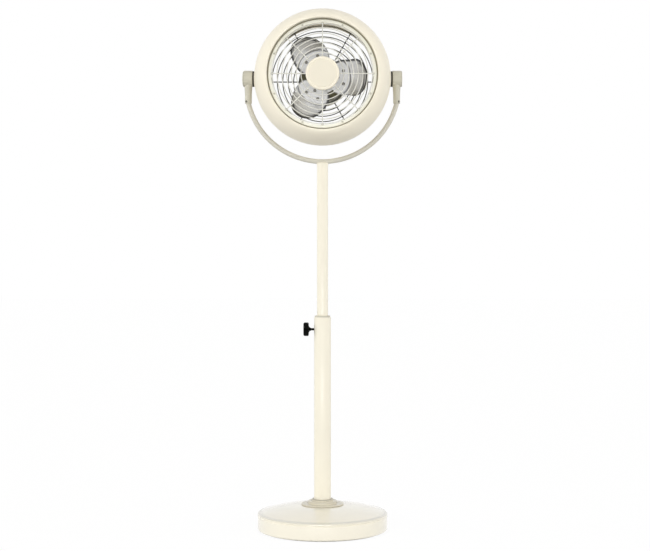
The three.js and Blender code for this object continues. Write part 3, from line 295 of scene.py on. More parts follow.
def spun(part, degrees, axis=Y_AXIS, centre=None):
    """A shell turned round an axis: each point keeps its part along the axis, and the part across it
    turns."""
    points, faces = part
    centre = TILT if centre is None else np.array(centre, float)
    turn = math.radians(degrees)
    arm = points - centre
    along = (arm @ axis)[:, None] * axis
    flat = arm - along
    return centre + along + math.cos(turn) * flat + math.sin(turn) * np.cross(axis, flat), faces


def around(part, number, start=0.0):
    """Equal copies of a shell round the fan's axis, the first one turned by start degrees."""
    return [spun(part, start + 360 * k / number) for k in range(number)]


# ---------------------------------------------------------------- putting pieces in the scene


def mesh_from(name, shells):
    """One mesh from closed shells in millimetres. A face with two welded corners becomes a triangle."""
    points, faces, offset = [], [], 0
    for flat, quads in shells:
        points.append(flat)
        quads = quads + offset
        offset += len(flat)
        same = quads == np.roll(quads, -1, axis=1)
        whole = quads[~same.any(axis=1)]
        folded = quads[same.sum(axis=1) == 1]
        keep = ~same[same.sum(axis=1) == 1]
        faces += whole.tolist() + folded[keep].reshape(-1, 3).tolist()
    mesh = bpy.data.meshes.new(name)
    mesh.from_pydata(np.concatenate(points) * MM, [], faces)
    mesh.update()
    return mesh


def add_piece(name, shells, finish, body, replaces=(), crease=32, cut_by=(), union=False):
    """Puts closed shells in the scene as one piece: joined or cut where asked, smooth up to the crease angle,
    riding on a body and standing for the CAD nodes that it replaces. Its slot holds the material named after
    its finish."""
    mesh = mesh_from(name, shells[:1] if union else shells)
    piece = link(bpy.data.objects.new(name, mesh))
    tools = [("UNION", part) for part in shells[1:]] if union else []
    for operation, part in tools + [("DIFFERENCE", part) for part in cut_by]:
        combine(piece, operation, part)
    piece.data.name = name
    piece.data.shade_smooth()
    piece.data.set_sharp_from_angle(angle=math.radians(crease))
    piece.data.materials.clear()
    piece.data.materials.append(finish_of(finish))
    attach(piece, body)
    if replaces:
        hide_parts(*replaces)
    return piece


def link(thing):
    """Puts an object in the scene."""
    bpy.context.scene.collection.objects.link(thing)
    return thing


def combine(piece, operation, part):
    """Joins a closed shell to a piece, or cuts it away, with the exact Boolean, and keeps the resulting
    mesh."""
    tool = link(bpy.data.objects.new("tool", mesh_from("tool", [part])))
    change = piece.modifiers.new("combine", "BOOLEAN")
    change.operation, change.object, change.solver = operation, tool, "EXACT"
    view = bpy.context.evaluated_depsgraph_get()
    result = bpy.data.meshes.new_from_object(piece.evaluated_get(view))
    piece.modifiers.clear()
    old = piece.data
    piece.data = result
    bpy.data.meshes.remove(old)
    bpy.data.objects.remove(tool)


# ---------------------------------------------------------------- finishes


class Value:
    """Output of a shader node. Arithmetic on it adds Math nodes."""

    def __init__(self, finish, source):
        self.finish, self.source = finish, source

    def math(self, operation, *values):
        return self.finish.node("ShaderNodeMath", {"operation": operation}, dict(enumerate(values)))

    def __add__(self, other):
        return self.math("ADD", self, other)

    def __sub__(self, other):
        return self.math("SUBTRACT", self, other)

    def __rsub__(self, other):
        return self.math("SUBTRACT", other, self)

    def __mul__(self, other):
        return self.math("MULTIPLY", self, other)

    def __pow__(self, other):
        return self.math("POWER", self, other)

    __radd__, __rmul__ = __add__, __mul__


class Finish:
    """The nodes of a material or of the world, under construction. A material's patterns read Object
    coordinates, in metres."""

    def __init__(self, owner, coordinates="Object"):
        owner.use_nodes = True
        self.nodes, self.links = owner.node_tree.nodes, owner.node_tree.links
        self.nodes.clear()
        self.place = self.node("ShaderNodeTexCoord", output=coordinates)

    def node(self, kind, settings=None, inputs=None, output=0):
        """Adds a node: first its settings, a ramp's stops among them, then the values or links of its
        sockets, by name or number. Gives the output that is named or numbered."""
        made = self.nodes.new(kind)
        for setting, value in (settings or {}).items():
            if setting == "stops":
                self.set_stops(made.color_ramp, value)
            else:
                setattr(made, setting, value)
        for key, value in (inputs or {}).items():
            socket = made.inputs[key] if isinstance(key, int) else next(
                one for one in made.inputs if one.enabled and one.name == key)
            if isinstance(value, Value):
                self.links.new(value.source, socket)
            else:
                opaque = socket.type == "RGBA" and len(value) == 3
                socket.default_value = (*value, 1.0) if opaque else value
        shown = [socket for socket in made.outputs if socket.enabled]
        return Value(self, shown[output] if isinstance(output, int) else made.outputs[output])

    @staticmethod
    def set_stops(ramp, stops):
        """Stops of a grey ramp as pairs of place and brightness."""
        for k, (place, bright) in enumerate(stops):
            element = ramp.elements[k] if k < 2 else ramp.elements.new(place)
            element.position, element.color = place, (bright, bright, bright, 1.0)

    def noise(self, scale, detail=2.0, stretch=None):
        """Cloudy pattern between 0 and 1, its grains about one over scale metres across, stretched where
        asked."""
        place = self.place
        if stretch:
            place = self.node("ShaderNodeVectorMath", {"operation": "MULTIPLY"}, {0: place, 1: stretch})
        return self.node("ShaderNodeTexNoise", {}, {"Vector": place, "Scale": scale, "Detail": detail},
                         output="Fac")

    def cells(self, scale):
        """Distance to the nearest cell centre, for hammered and grained surfaces."""
        return self.node("ShaderNodeTexVoronoi", {}, {"Vector": self.place, "Scale": scale},
                         output="Distance")

    def ramp(self, value, *stops):
        """A value taken through grey stops."""
        return self.node("ShaderNodeValToRGB", {"stops": stops}, {"Fac": value}, output="Color")

    def mix(self, factor, first, second):
        """Colour between two colours."""
        return self.node("ShaderNodeMix", {"data_type": "RGBA"}, {"Factor": factor, "A": first, "B": second})

    def mottled(self, factor, tint, dark, light):
        """A colour between a darker and a lighter shade of itself."""
        return self.mix(factor, shade(tint, dark), shade(tint, light))

    def bump(self, height, depth, strength=1.0):
        """Surface normal from a height pattern of the given depth in millimetres."""
        return self.node("ShaderNodeBump", {}, {"Height": height, "Strength": strength,
                                                "Distance": depth * MM})

    def coordinate(self, axis):
        """One coordinate of the pattern's place."""
        return self.node("ShaderNodeSeparateXYZ", {}, {"Vector": self.place}, output=axis)

    def from_axis(self):
        """Distance from the fan's axis at rest, in metres."""
        side, height = self.coordinate("X"), self.coordinate("Z") - float(TILT[2] * MM)
        return (side * side + height * height) ** 0.5

    def turn(self, degrees):
        """Turns the pattern about the fan's axis. The shift undoes what the turn about the origin does to
        it."""
        turn, height = math.radians(degrees), TILT[2] * MM
        self.place = self.node("ShaderNodeMapping", {}, {
            "Vector": self.place, "Rotation": (0.0, turn, 0.0),
            "Location": (-height * math.sin(turn), 0.0, height - height * math.cos(turn))})

    def done(self, **sockets):
        """Ends the material in a Principled shader, socket names written with underscores for spaces."""
        named = {key.replace("_", " "): value for key, value in sockets.items()}
        self.end("Material", self.node("ShaderNodeBsdfPrincipled", {}, named))

    def end(self, kind, surface):
        """Connects a shader to the output of the material or the world."""
        self.links.new(surface.source, self.nodes.new(f"ShaderNodeOutput{kind}").inputs["Surface"])


def shade(tint, factor):
    """A colour made darker or lighter by a factor."""
    return tuple(min(1.0, channel * factor) for channel in tint)


def coated(finish, tint, roughness, coat, peel):
    """Powder coat or gloss moulding: faint clouds in the colour, a fine orange peel and an uneven gloss."""
    speck = finish.ramp(finish.noise(900.0), (0.66, 0.0), (0.74, 1.0))
    body = finish.mottled(finish.noise(7.0, 3.0), tint, 0.955, 1.01)
    grain = finish.noise(520.0, 1.0) + 0.5 * finish.noise(160.0)
    finish.done(Base_Color=finish.mix(speck * 0.06, body, shade(tint, 0.6)),
                Roughness=roughness + (finish.noise(38.0, 4.0) - 0.5) * 0.12, Specular_IOR_Level=0.3,
                Coat_Weight=coat, Coat_Roughness=0.08, Normal=finish.bump(grain, peel, 0.5))


def collar_paint(finish, tint):
    """Gloss paint of the collar, with painted shade in its coves and round the pole's foot: bands of
    heights."""
    low, high = (corner[2] for corner in corners("pole_collar"))
    share = (finish.coordinate("Z") - float(low * MM)) * float(1 / (high - low) / MM)
    # Painted shade: darker bands at the collar's coves and at its top, where it meets the pole.
    cove_shade = finish.ramp(share, (0.0, 0.1), (0.12, 0.25), (0.2, 0.0), (0.42, 0.0), (0.52, 0.55), (0.62, 0.0),
                       (0.8, 0.1), (0.92, 0.9))
    finish.done(Base_Color=finish.mix(cove_shade, tint, shade(tint, 0.55)),
                Roughness=0.28 + 0.12 * finish.noise(38.0, 4.0), Coat_Weight=0.4, Coat_Roughness=0.08,
                Normal=finish.bump(finish.noise(520.0, 1.0), 0.03, 0.5))


def base_gloss(finish, tint):
    """High gloss paint of the base, with painted shade along its rolled edge: a soft band of heights."""
    # Painted shade: a soft darker band at the height of the rolled edge.
    edge = finish.ramp((finish.coordinate("Z") - 0.034) * 100.0, (0.25, 0.0), (0.46, 1.0), (0.6, 1.0),
                       (0.84, 0.0))
    body = finish.mottled(finish.noise(7.0, 3.0), tint, 0.97, 1.01)
    finish.done(Base_Color=finish.mix(edge * 0.9, body, shade(tint, 0.76)),
                Roughness=0.24 + (finish.noise(38.0, 4.0) - 0.5) * 0.08, Coat_Weight=1.0, Coat_IOR=1.7,
                Coat_Roughness=0.05, Normal=finish.bump(finish.noise(520.0, 1.0), 0.01, 0.4))


def badge_face(finish, tint, inner):
    """Gloss moulding with a second tone inside its groove: a step in the distance from the fan's axis."""
    rim = finish.ramp(finish.from_axis() * 25.0, (0.762, 0.0), (0.775, 1.0))
    body = finish.mottled(finish.noise(9.0, 3.0), inner, 0.97, 1.01)
    finish.done(Base_Color=finish.mix(rim, body, tint), Roughness=0.38 + 0.06 * finish.noise(60.0, 3.0),
                Specular_IOR_Level=0.3, Coat_Weight=0.06, Coat_Roughness=0.08,
                Normal=finish.bump(finish.noise(520.0, 1.0), 0.03, 0.5))


def cast_paint(finish, tint):
    """Satin paint over a casting or drawn tube: broad shallow waves under a fine grain."""
    wave = finish.noise(90.0, 3.0)
    finish.done(Base_Color=finish.mottled(finish.noise(14.0, 4.0), tint, 0.93, 1.03),
                Roughness=0.38 + 0.14 * wave, Specular_IOR_Level=0.3,
                Normal=finish.bump(wave + 0.4 * finish.noise(1300.0), 0.08, 0.6))


def wire_coat(finish, tint, metallic, roughness):
    """Dip-coated wire: slow runs in the coat along the wire and a slightly uneven gloss."""
    runs = finish.noise(210.0)
    finish.done(Base_Color=finish.mottled(finish.noise(60.0, 3.0), tint, 0.88, 1.04), Metallic=metallic,
                Roughness=roughness + 0.15 * runs, Normal=finish.bump(runs, 0.06, 0.6))


def brushed_blade(finish, tint, degrees):
    """Pressed aluminium: brush lines across the blade, small handling smudges, and painted shade on rim, bead
    and root step, which the blade's mesh carries."""
    if degrees:
        finish.turn(degrees)
    lines = finish.noise(1.0, 3.0, (1500.0, 60.0, 26.0))
    fine = finish.noise(1.0, 2.0, (5200.0, 90.0, 60.0))
    # The tone attribute is painted shade: dark rim, bead and root step, and a band on the trailing side.
    tone = finish.node("ShaderNodeAttribute", {"attribute_name": "tone"}, output="Fac")
    unshaded_metal = finish.mottled(lines, tint, 0.84, 1.1)
    finish.done(Base_Color=finish.mix(tone, shade(tint, 0.06), unshaded_metal), Metallic=0.2,
                Roughness=0.24 + 0.16 * lines + 0.10 * finish.noise(30.0, 4.0),
                Normal=finish.bump(lines + 0.5 * fine, 0.05, 0.55))


def plated(finish, tint, roughness, metallic=0.95):
    """Zinc plate or black oxide: mottled tone with fine drawing lines."""
    mottle = finish.noise(240.0, 4.0)
    finish.done(Base_Color=finish.mottled(mottle, tint, 0.82, 1.12), Metallic=metallic,
                Roughness=roughness + 0.18 * mottle, Normal=finish.bump(finish.noise(1600.0), 0.02, 0.6))


def grained_plastic(finish, tint, roughness, grain_scale, depth, shine=0.2):
    """Moulded plastic or rubber with a spark-eroded grain."""
    grain = finish.cells(grain_scale) + 0.5 * finish.noise(grain_scale * 1.7)
    worn = finish.noise(45.0, 4.0)
    finish.done(Base_Color=finish.mottled(worn, tint, 0.8, 1.35), Roughness=roughness + 0.16 * worn,
                Specular_IOR_Level=shine, Normal=finish.bump(grain, depth, 0.7))


def hammered(finish, tint):
    """Hammered enamel: shallow round dimples with darker valleys."""
    dimple = finish.cells(260.0)
    finish.done(Base_Color=finish.mottled(dimple, tint, 0.8, 1.15), Metallic=0.2,
                Roughness=0.36 + 0.2 * dimple, Normal=finish.bump(dimple, 0.18, 0.7))


def cast_iron(finish, tint):
    """Sand casting: a coarse grain of darker and lighter tones."""
    grain = finish.noise(190.0, 6.0)
    finish.done(Base_Color=finish.mottled(grain, tint, 0.6, 1.25), Metallic=0.5, Roughness=0.6 + 0.25 * grain,
                Normal=finish.bump(grain, 0.35, 0.8))


def wound_copper(finish, tint):
    """Varnished winding: turns of wire round the fan's axis, a sine of the distance from that axis and along
    it."""
    reach = finish.from_axis() + finish.coordinate("Y")
    turns = reach.math("SINE", reach * 7000.0) * 0.5 + 0.5
    finish.done(Base_Color=finish.mottled(turns, tint, 0.45, 1.1), Metallic=0.8,
                Roughness=0.3 + 0.2 * finish.noise(120.0, 3.0), Normal=finish.bump(turns, 0.3, 0.8))


def sintered(finish, tint):
    """Porous bearing bronze: dark oil-filled pores in a bright grain."""
    pores = finish.ramp(finish.cells(1500.0), (0.1, 0.0), (0.35, 1.0))
    finish.done(Base_Color=finish.mottled(pores, tint, 0.5, 1.1), Metallic=0.8, Roughness=0.4 + 0.2 * pores,
                Normal=finish.bump(pores, 0.05, 0.6))


# Each finish by its material slot or use: what makes it, its colour settings, then its numbers in that order.
FINISHES = {
    "cream_paint": (coated, "cream_paint", 0.34, 0.2, 0.05),
    "collar_paint": (collar_paint, "collar_paint"),
    "base_gloss": (base_gloss, "cream_paint"),
    "cream_shell": (coated, "cream_shell", 0.40, 0.06, 0.03),
    "badge_face": (badge_face, "cream_shell", "badge_inner"),
    "flange_paint": (coated, "flange_paint", 0.42, 0.05, 0.05),
    "grey_cream": (cast_paint, "grey_cream"),
    "yoke_paint": (cast_paint, "yoke_paint"),
    "wire": (wire_coat, "light_wire", 0.15, 0.28),
    "dark_wire": (wire_coat, "dark_wire", 0.35, 0.35),
    "steel": (plated, "steel", 0.28),
    "dark_steel": (plated, "dark_steel", 0.38, 0.7),
    "rivet": (plated, "rivet", 0.35, 0.6),
    "painted_screw": (plated, "painted_screw", 0.4, 0.1),
    "black_plastic": (grained_plastic, "black_plastic", 0.38, 1500.0, 0.05, 0.06),
    "rubber": (grained_plastic, "rubber", 0.68, 900.0, 0.08),
    "foot_rubber": (grained_plastic, "foot_rubber", 0.6, 900.0, 0.08),
    "seal": (grained_plastic, "seal", 0.7, 1100.0, 0.06),
    "iron": (cast_iron, "iron"),
    "motor_paint": (hammered, "motor_paint"),
    "copper": (wound_copper, "copper"),
    "bronze": (sintered, "bronze"),
    "nylon": (grained_plastic, "nylon", 0.45, 700.0, 0.04),
    "figures": (grained_plastic, "dark_steel", 0.5, 1800.0, 0.02),
    "blade_metal": (plated, "blade_metal", 0.22),
    "blade_1": (brushed_blade, "blade_metal", 0.0),
    "blade_2": (brushed_blade, "blade_metal", 120.0),
    "blade_3": (brushed_blade, "blade_metal", 240.0),
}


def finish_of(key):
    """A finish of the table, made once and found again by name."""
    found = bpy.data.materials.get(f"finish_{key}")
    if not found:
        found = bpy.data.materials.new(f"finish_{key}")
        maker, *values = FINISHES[key]
        tints = bpy.context.scene.circulator_colours
        values = [tuple(getattr(tints, value)) if isinstance(value, str) else value for value in values]
        maker(Finish(found), *values)
    return found


# ---------------------------------------------------------------- stand


def dome_height(radius, start, end, low, high, bulge):
    """Height of the dome: a straight cone from low at start to high at end, plus a bulge that is zero at
    both."""
    along = (start - radius) / (start - end)
    return low + (high - low) * along + 4 * bulge * along * (1 - along)


def base_outline(size):
    """Outline of the pressed cover: hem, side wall, grooved rolled edge, bulged dome, and the same inside."""
    radius, edge, bulge = size["base_radius"], size["base_edge"], size["dome_bulge"]
    skin, hem, wall_top, flat_radius, bore = 1.5, 3.0, 36.0, 46.0, 4.3
    edge_top = wall_top + edge
    start = radius - edge - 1.0
    dome_r = np.linspace(start, flat_radius, 28)
    dome_z = dome_height(dome_r, start, flat_radius, edge_top - 0.1, DOME_TOP, bulge)
    roll = quarter((radius - edge, wall_top), (edge, edge), 12, 90, 8)
    outside = [(radius - skin, hem, 0.3), (radius - 1.0, hem, 0.6), (radius, hem + 2.0, 1.2),
               (radius, wall_top - 3.4, 0.6), (radius - 2.0, wall_top - 1.8, 0.5),
               (radius - 0.1, wall_top - 0.1, 0.3)]
    top = [(bore, DOME_TOP, 0), (bore, DOME_TOP - skin, 0)]
    under = [(r, z - skin, 0) for r, z in zip(dome_r[::-1], dome_z[::-1])]
    return rounded(outside + sharp(roll) + sharp(zip(dome_r, dome_z)) + top + under
                   + [(radius - 3.6, wall_top, 0.5), (radius - 3.5, wall_top - 2.2, 0.5),
                      (radius - skin, wall_top - 4.6, 0.5)], 4)


class CIRCULATOR_OT_base(bpy.types.Operator):
    """Pressed base cover, its rubber foot ring and the bottom plate"""

    bl_idname = "circulator.base"
    bl_label = "Base"

    def execute(self, context):
        size = millimetres(context)
        add_piece("base_shell", [turned(base_outline(size), sides=224)], "base_gloss", "stand",
                  ["base_cover"])
        inner, outer = 116.0, corners("foot_ring")[1][0]
        places = np.linspace(inner + 1.5, outer - 1.5, 10)
        ribs = [(r, 0.0 if k % 2 else 0.6, 0.15) for k, r in enumerate(places)]
        foot = rounded([(inner, 3.0, 0.2), (inner, 0.4, 0.3)] + ribs + [(outer, 0.4, 0.3), (outer, 3.0, 0.2)],
                       3)
        # The pale foot rubber is painted light that hides the dark line under the hem.
        add_piece("rubber_foot", [turned(foot, sides=192)], "foot_rubber", "stand", ["foot_ring"])
        low, high = corners("base_plate")
        hole, rim, floor, top = 20.0, high[0], low[2], high[2]
        plate = rounded([
            (hole, floor, 0.3), (58.0, floor, 1.0), (60.0, floor + 0.5, 1.0), (96.0, floor + 0.5, 1.0),
            (98.0, floor, 1.0), (rim, floor, 0.5), (rim, top, 0.5), (hole, top, 0.3)], 4)
        add_piece("bottom_plate", [turned(plate, sides=160)], "iron", "stand", ["base_plate"])
        return {"FINISHED"}


class CIRCULATOR_OT_pole(bpy.types.Operator):
    """Stepped collar, fixed tube with its bush, and the sliding tube welded under the yoke"""

    bl_idname = "circulator.pole"
    bl_label = "Pole"

    def execute(self, context):
        size = millimetres(context)
        low, high = corners("pole_collar")
        bore = size["outer_tube_radius"] + 0.15
        foot, top = low[2], high[2]
        steps = rounded([
            (bore, foot, 0.2), (high[0], foot, 0.5), (high[0], foot + 2.6, 1.1), (34.4, foot + 2.6, 0.3),
            (34.0, foot + 1.9, 0.3), (33.0, foot + 1.9, 0.3), (32.4, foot + 2.8, 0.4),
            (32.4, foot + 9.0, 2.4), (26.0, foot + 9.0, 0.3), (25.5, foot + 8.2, 0.3),
            (24.5, foot + 8.2, 0.3), (24.0, foot + 9.2, 0.4), (24.0, top, 1.9), (bore + 2.0, top, 0.8),
            (bore + 0.6, top - 2.2, 0.4), (bore, top - 2.6, 0.2)], 7)
        add_piece("stepped_collar", [turned(steps, sides=144)], "collar_paint", "stand", ["pole_collar"])
        self.fixed_tube(size)
        self.sliding_tube(size)
        return {"FINISHED"}

    def fixed_tube(self, size):
        """Fixed tube with a rounded mouth and the hole for the lock stud, and the bush in its mouth."""
        outer, bore = size["outer_tube_radius"], size["outer_tube_radius"] - 1.5
        foot, mouth = OUTER_TUBE[0][2], OUTER_TUBE[1][2]
        lock = middle("lock_stud")[2]
        wall = rounded([(bore, foot, 0), (outer, foot, 0.2), (outer, mouth, 0.7), (bore, mouth, 0.4)], 5)
        hole = rod((-outer - 4, 0, lock), (-bore + 4, 0, lock), 3.3, 24, 0.1)
        add_piece("fixed_tube", [turned(wall, sides=96)], "cream_paint", "stand", ["lower_tube"],
                  cut_by=[hole])
        low, high = corners("guide_bush")
        slide, rim = size["inner_tube_radius"] + 0.3, high[0]
        lip = mouth + 0.3
        bush = rounded([
            (slide, low[2], 0.2), (bore - 0.3, low[2], 0.4), (bore - 0.3, lip, 0), (rim, lip, 0.3),
            (rim, high[2], 1.1), (slide + 0.7, high[2], 0.5), (slide, high[2] - 0.9, 0.3)], 5)
        add_piece("tube_bush", [turned(bush, sides=96)], "grey_cream", "stand", ["guide_bush"])

    def sliding_tube(self, size):
        """Sliding tube, made solid and square-ended because only its outside shows, and the weld bead under
        the yoke. The bead's sides follow the tube, and its front and back lean round the yoke."""
        outer = size["inner_tube_radius"]
        foot, mouth = INNER_TUBE[0][2], INNER_TUBE[1][2]
        wall = rounded([(0, foot, 0), (outer, foot, 0.4), (outer, mouth, 0.8), (0, mouth, 0)], 5)
        yoke = yoke_line(240)
        add_piece("sliding_tube", [turned(wall, sides=72)], "cream_paint", "mast", ["upper_tube"])
        lowest = yoke[:, 2].min()
        angle = np.linspace(0, FULL_TURN, 181)
        soft = lambda value: np.sign(value) * np.abs(value) ** 0.55
        lean = np.radians(58) * soft(np.sin(angle))
        tube = YOKE_RADIUS + 0.1
        bead = np.stack([(outer - 0.2) * soft(np.cos(angle)), tube * np.sin(lean),
                         lowest - tube * np.cos(lean)], -1)
        ripple = 1.15 + 0.12 * np.sin(angle * 26)
        add_piece("yoke_weld", [looped(bead[:-1], ripple[:-1])], "cream_paint", "mast")


def looped(path, radius, sides=10):
    """Round bar along a closed path, its cross-sections square to the path: the path's direction is crossed
    with the line from the path's middle to give the first side of each section."""
    tangent = np.roll(path, -1, axis=0) - np.roll(path, 1, axis=0)
    tangent /= np.linalg.norm(tangent, axis=1, keepdims=True)
    first = np.cross(tangent, path - path.mean(0))
    first /= np.linalg.norm(first, axis=1, keepdims=True)
    second = np.cross(tangent, first)
    angle = angles(sides)
    ring = np.cos(angle)[None, :, None] * first[:, None] + np.sin(angle)[None, :, None] * second[:, None]
    return shell(path[:, None] + radius[:, None, None] * ring, join_rows=True)


class CIRCULATOR_OT_height_lock(bpy.types.Operator):
    """Black fluted knob on a threaded stud in the fixed tube"""

    bl_idname = "circulator.height_lock"
    bl_label = "Height lock"

    def execute(self, context):
        size = millimetres(context)
        low, high = corners("lock_stud")
        axis, centre = -X_AXIS, (0, 0, middle("lock_stud")[2])
        start, end = -high[0], -low[0]
        height = np.linspace(start, end, 260)
        ends = np.minimum(1, np.minimum(height - start, end - height) / 0.8)
        core, ridge, pitch = 2.45, 0.45, 1.0
        outline = np.stack([core + ridge * ends, height], -1)
        outline = np.concatenate([[(0, start)], outline, [(0, end)]])

        def thread(radius, height, angle):
            """Ridge that climbs one pitch a turn: a triangle wave of height over pitch less angle over a
            turn."""
            phase = (height / pitch - angle / FULL_TURN) % 1.0
            return np.where(radius > 0, radius - ridge + ridge * (1 - np.abs(2 * phase - 1)), 0)

        add_piece("threaded_stud", [turned(outline, axis, centre, 40, thread)], "dark_steel", "lock_screw",
                  ["lock_stud"], crease=50)
        low, high = corners("lock_knob")
        neck, face = -high[0], -low[0]
        rim = high[2] - centre[2]
        grip, smooth_to, hollow_depth = face - 12.0, 9.5, 2.3
        flutes = size["knob_flutes"]
        outline = rounded([
            (0, neck, 0), (3.6, neck, 0.5), (4.1, neck + 2.2, 2.0), (7.8, grip - 0.2, 1.2),
            (rim - 1.6, grip, 1.4), (rim, grip + 1.8, 1.6), (rim, face - 2.2, 1.6), (rim - 2.4, face, 1.8),
            (9.6, face, 0.8), (8.8, face - 0.9, 0.6), (0, face - 0.9, 0)], 7)

        def fluted(radius, height, angle):
            """Radius less a round hollow at each flute, growing from nothing at the neck to its depth at the
            rim."""
            hollow = np.maximum(0, np.cos(angle * flutes)) ** 2.2
            strength = np.clip((radius - smooth_to) / (rim - smooth_to), 0, 1) ** 1.3
            return radius - hollow_depth * hollow * strength

        add_piece("star_knob", [turned(outline, axis, centre, 240, fluted)], "black_plastic", "lock_grip",
                  ["lock_knob"])
        return {"FINISHED"}


# ---------------------------------------------------------------- yoke and pivots

YOKE_RADIUS = 5.5
SLEEVE_FOOT = 55.4                         # how far the sleeves reach below the tilt axis
PIVOT_INNER, PIVOT_OUTER = 157.4, 176.4    # faces of the pivot blocks, from the fan's axis
PIVOT_RADIUS = 18.6
CAP_RADIUS, CAP_SPIGOT = 17.6, 8.9
BOLT_HOLE = 4.3
SOCKET = (PIVOT_INNER + PIVOT_OUTER) / 2   # middle of a block and of the yoke tube in it


def yoke_line(steps):
    """Centre line of the yoke in the XZ plane, by distance along it: an arc of 171.5 mm radius, on each side
    a tighter arc of 40 mm that turns the end upright, and a straight end inside the sleeve."""
    turn, bow = 40.0, 4.6
    bend = SOCKET + bow
    centre = corners("yoke_tube")[0][2] + YOKE_RADIUS + bend
    lean = math.acos((SOCKET - turn) / (bend - turn))
    bend_length, turn_length = bend * (math.pi / 2 - lean), turn * lean
    turn_end = centre - (bend - turn) * math.sin(lean)
    tube_end = TILT[2] - SLEEVE_FOOT + 28.0
    half = bend_length + turn_length + tube_end - turn_end
    distance = np.linspace(-half, half, steps)
    side, along = np.sign(distance), np.abs(distance)
    angle = np.minimum(along, bend_length) / bend
    rest = np.clip(along - bend_length, 0, turn_length) / turn
    straight = np.maximum(along - bend_length - turn_length, 0)
    tight = lean - rest
    on_bend = along <= bend_length
    x = np.where(on_bend, bend * np.sin(angle), SOCKET - turn * (1 - np.cos(tight)))
    z = np.where(on_bend, centre - bend * np.cos(angle), turn_end - turn * np.sin(tight) + straight)
    return np.stack([side * x, 0 * x, z], -1)


def sleeve(side):
    """Tapered elliptical sleeve under the pivot. Half width and half depth shrink smoothly from the pivot's
    axis to the foot, whose edge is rounded and whose end is hollowed round the tube."""
    arc, taper = 1.2, 42.0
    top_width, foot_width, top_depth, foot_depth = 9.4, 7.7, 14.0, 8.3
    rounding = SLEEVE_FOOT - arc + arc * np.sin(np.linspace(0, math.pi / 2, 6)[1:])
    drop = np.concatenate([np.linspace(0, SLEEVE_FOOT - arc, 40), rounding])
    edge = arc * (1 - np.sqrt(np.clip(1 - ((drop - SLEEVE_FOOT + arc) / arc).clip(0, 1) ** 2, 0, 1)))
    blend = smooth(drop, 0, taper)
    half_width = top_width + (foot_width - top_width) * blend - edge
    half_depth = top_depth + (foot_depth - top_depth) * blend - edge
    drop = np.concatenate([[0], drop, [SLEEVE_FOOT]])
    half_width, half_depth = (np.concatenate([[0], half, [0]]) for half in (half_width, half_depth))
    angle = angles(64)
    points = np.stack([side * SOCKET + half_width[:, None] * np.cos(angle),
                       half_depth[:, None] * np.sin(angle), TILT[2] - drop[:, None] + 0 * angle], -1)
    return shell(points)


class CIRCULATOR_OT_yoke(bpy.types.Operator):
    """Bent tube yoke with its cast pivot blocks, end caps, friction rings and set screws"""

    bl_idname = "circulator.yoke"
    bl_label = "Yoke and pivots"

    def execute(self, context):
        path = yoke_line(420)
        add_piece("bent_yoke", [self.capped(path)], "yoke_paint", "mast", ["yoke_tube"])
        for side, label in ((-1, "left"), (1, "right")):
            self.pivot(side, label)
        return {"FINISHED"}

    @staticmethod
    def capped(path):
        """Yoke tube with its ends closed: the end rows shrink to the path."""
        side = np.cross(np.gradient(path, axis=0), Y_AXIS)
        side /= np.linalg.norm(side, axis=1, keepdims=True)
        angle = angles(32)
        ring = np.cos(angle)[None, :, None] * side[:, None] + np.sin(angle)[None, :, None] * Y_AXIS
        body = path[:, None] + YOKE_RADIUS * ring
        first, last = (np.broadcast_to(path[k], (1, 32, 3)) for k in (0, -1))
        return shell(np.concatenate([first, body, last]))

    @staticmethod
    def pivot(side, label):
        """One pivot: block and sleeve in one casting, end cap, friction ring and set screw. The casting is
        solid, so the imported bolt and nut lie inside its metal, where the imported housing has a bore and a
        recess for them."""
        axis = X_AXIS * side
        block = rounded([(0, PIVOT_INNER, 0), (PIVOT_RADIUS, PIVOT_INNER, 1.4),
                         (PIVOT_RADIUS, PIVOT_OUTER, 1.2), (0, PIVOT_OUTER, 0)], 6)
        casting = [turned(block, axis, TILT, 96), sleeve(side)]
        add_piece(f"pivot_block_{label}", casting, "grey_cream", "mast", [f"pivot_housing_{label}"],
                  union=True)
        start, face, disc = PIVOT_OUTER - 2.5, PIVOT_OUTER + 0.3, CAP_RADIUS
        if side < 0:
            crown = quarter((0, face + 0.6), (disc, 3.6), 0, 90, 14)
            outline = [(0, start), (CAP_SPIGOT, start), (CAP_SPIGOT, face), (disc, face)] + crown.tolist()
        else:
            outline = rounded([
                (0, start, 0), (CAP_SPIGOT, start, 0), (CAP_SPIGOT, face, 0), (disc, face, 0.2),
                (disc, face + 1.9, 0.7), (12.0, face + 1.9, 0.3), (11.6, face + 1.6, 0.3),
                (0, face + 1.6, 0)], 5)
        add_piece(f"pivot_cap_{label}_disc", [turned(outline, axis, TILT, 96)], "grey_cream", "mast",
                  [f"pivot_cap_{label}"])
        inner, outer = 154.0, 157.1
        ring = rounded([(BOLT_HOLE, inner, 0.2), (disc, inner, 0.5), (disc, outer, 0.5),
                        (BOLT_HOLE, outer, 0.2)], 4)
        add_piece(f"friction_ring_{label}", [turned(ring, axis, TILT, 96)], "rubber", "head",
                  [f"friction_washer_{label}"])
        lean = math.radians(57)
        out = np.array([side * math.cos(lean), -math.sin(lean), 0.0])
        centre = (side * SOCKET, 0, TILT[2] - SLEEVE_FOOT + 4.0)
        screw = rounded([(0, 5.8, 0), (2.2, 5.8, 0), (2.2, 8.9, 0.4), (1.25, 8.9, 0.1), (1.15, 7.2, 0.1),
                         (0, 7.0, 0)], 4)
        add_piece(f"grub_screw_{label}", [turned(screw, out, centre, 36)], "dark_steel", "mast",
                  [f"set_screw_{label}"])


# ---------------------------------------------------------------- head shells


CROWN_DEPTH = -26.0                        # where the ring is at its widest, along the fan's axis
ROLL_FULLNESS = 1.7
SHELL_WALL = 2.5


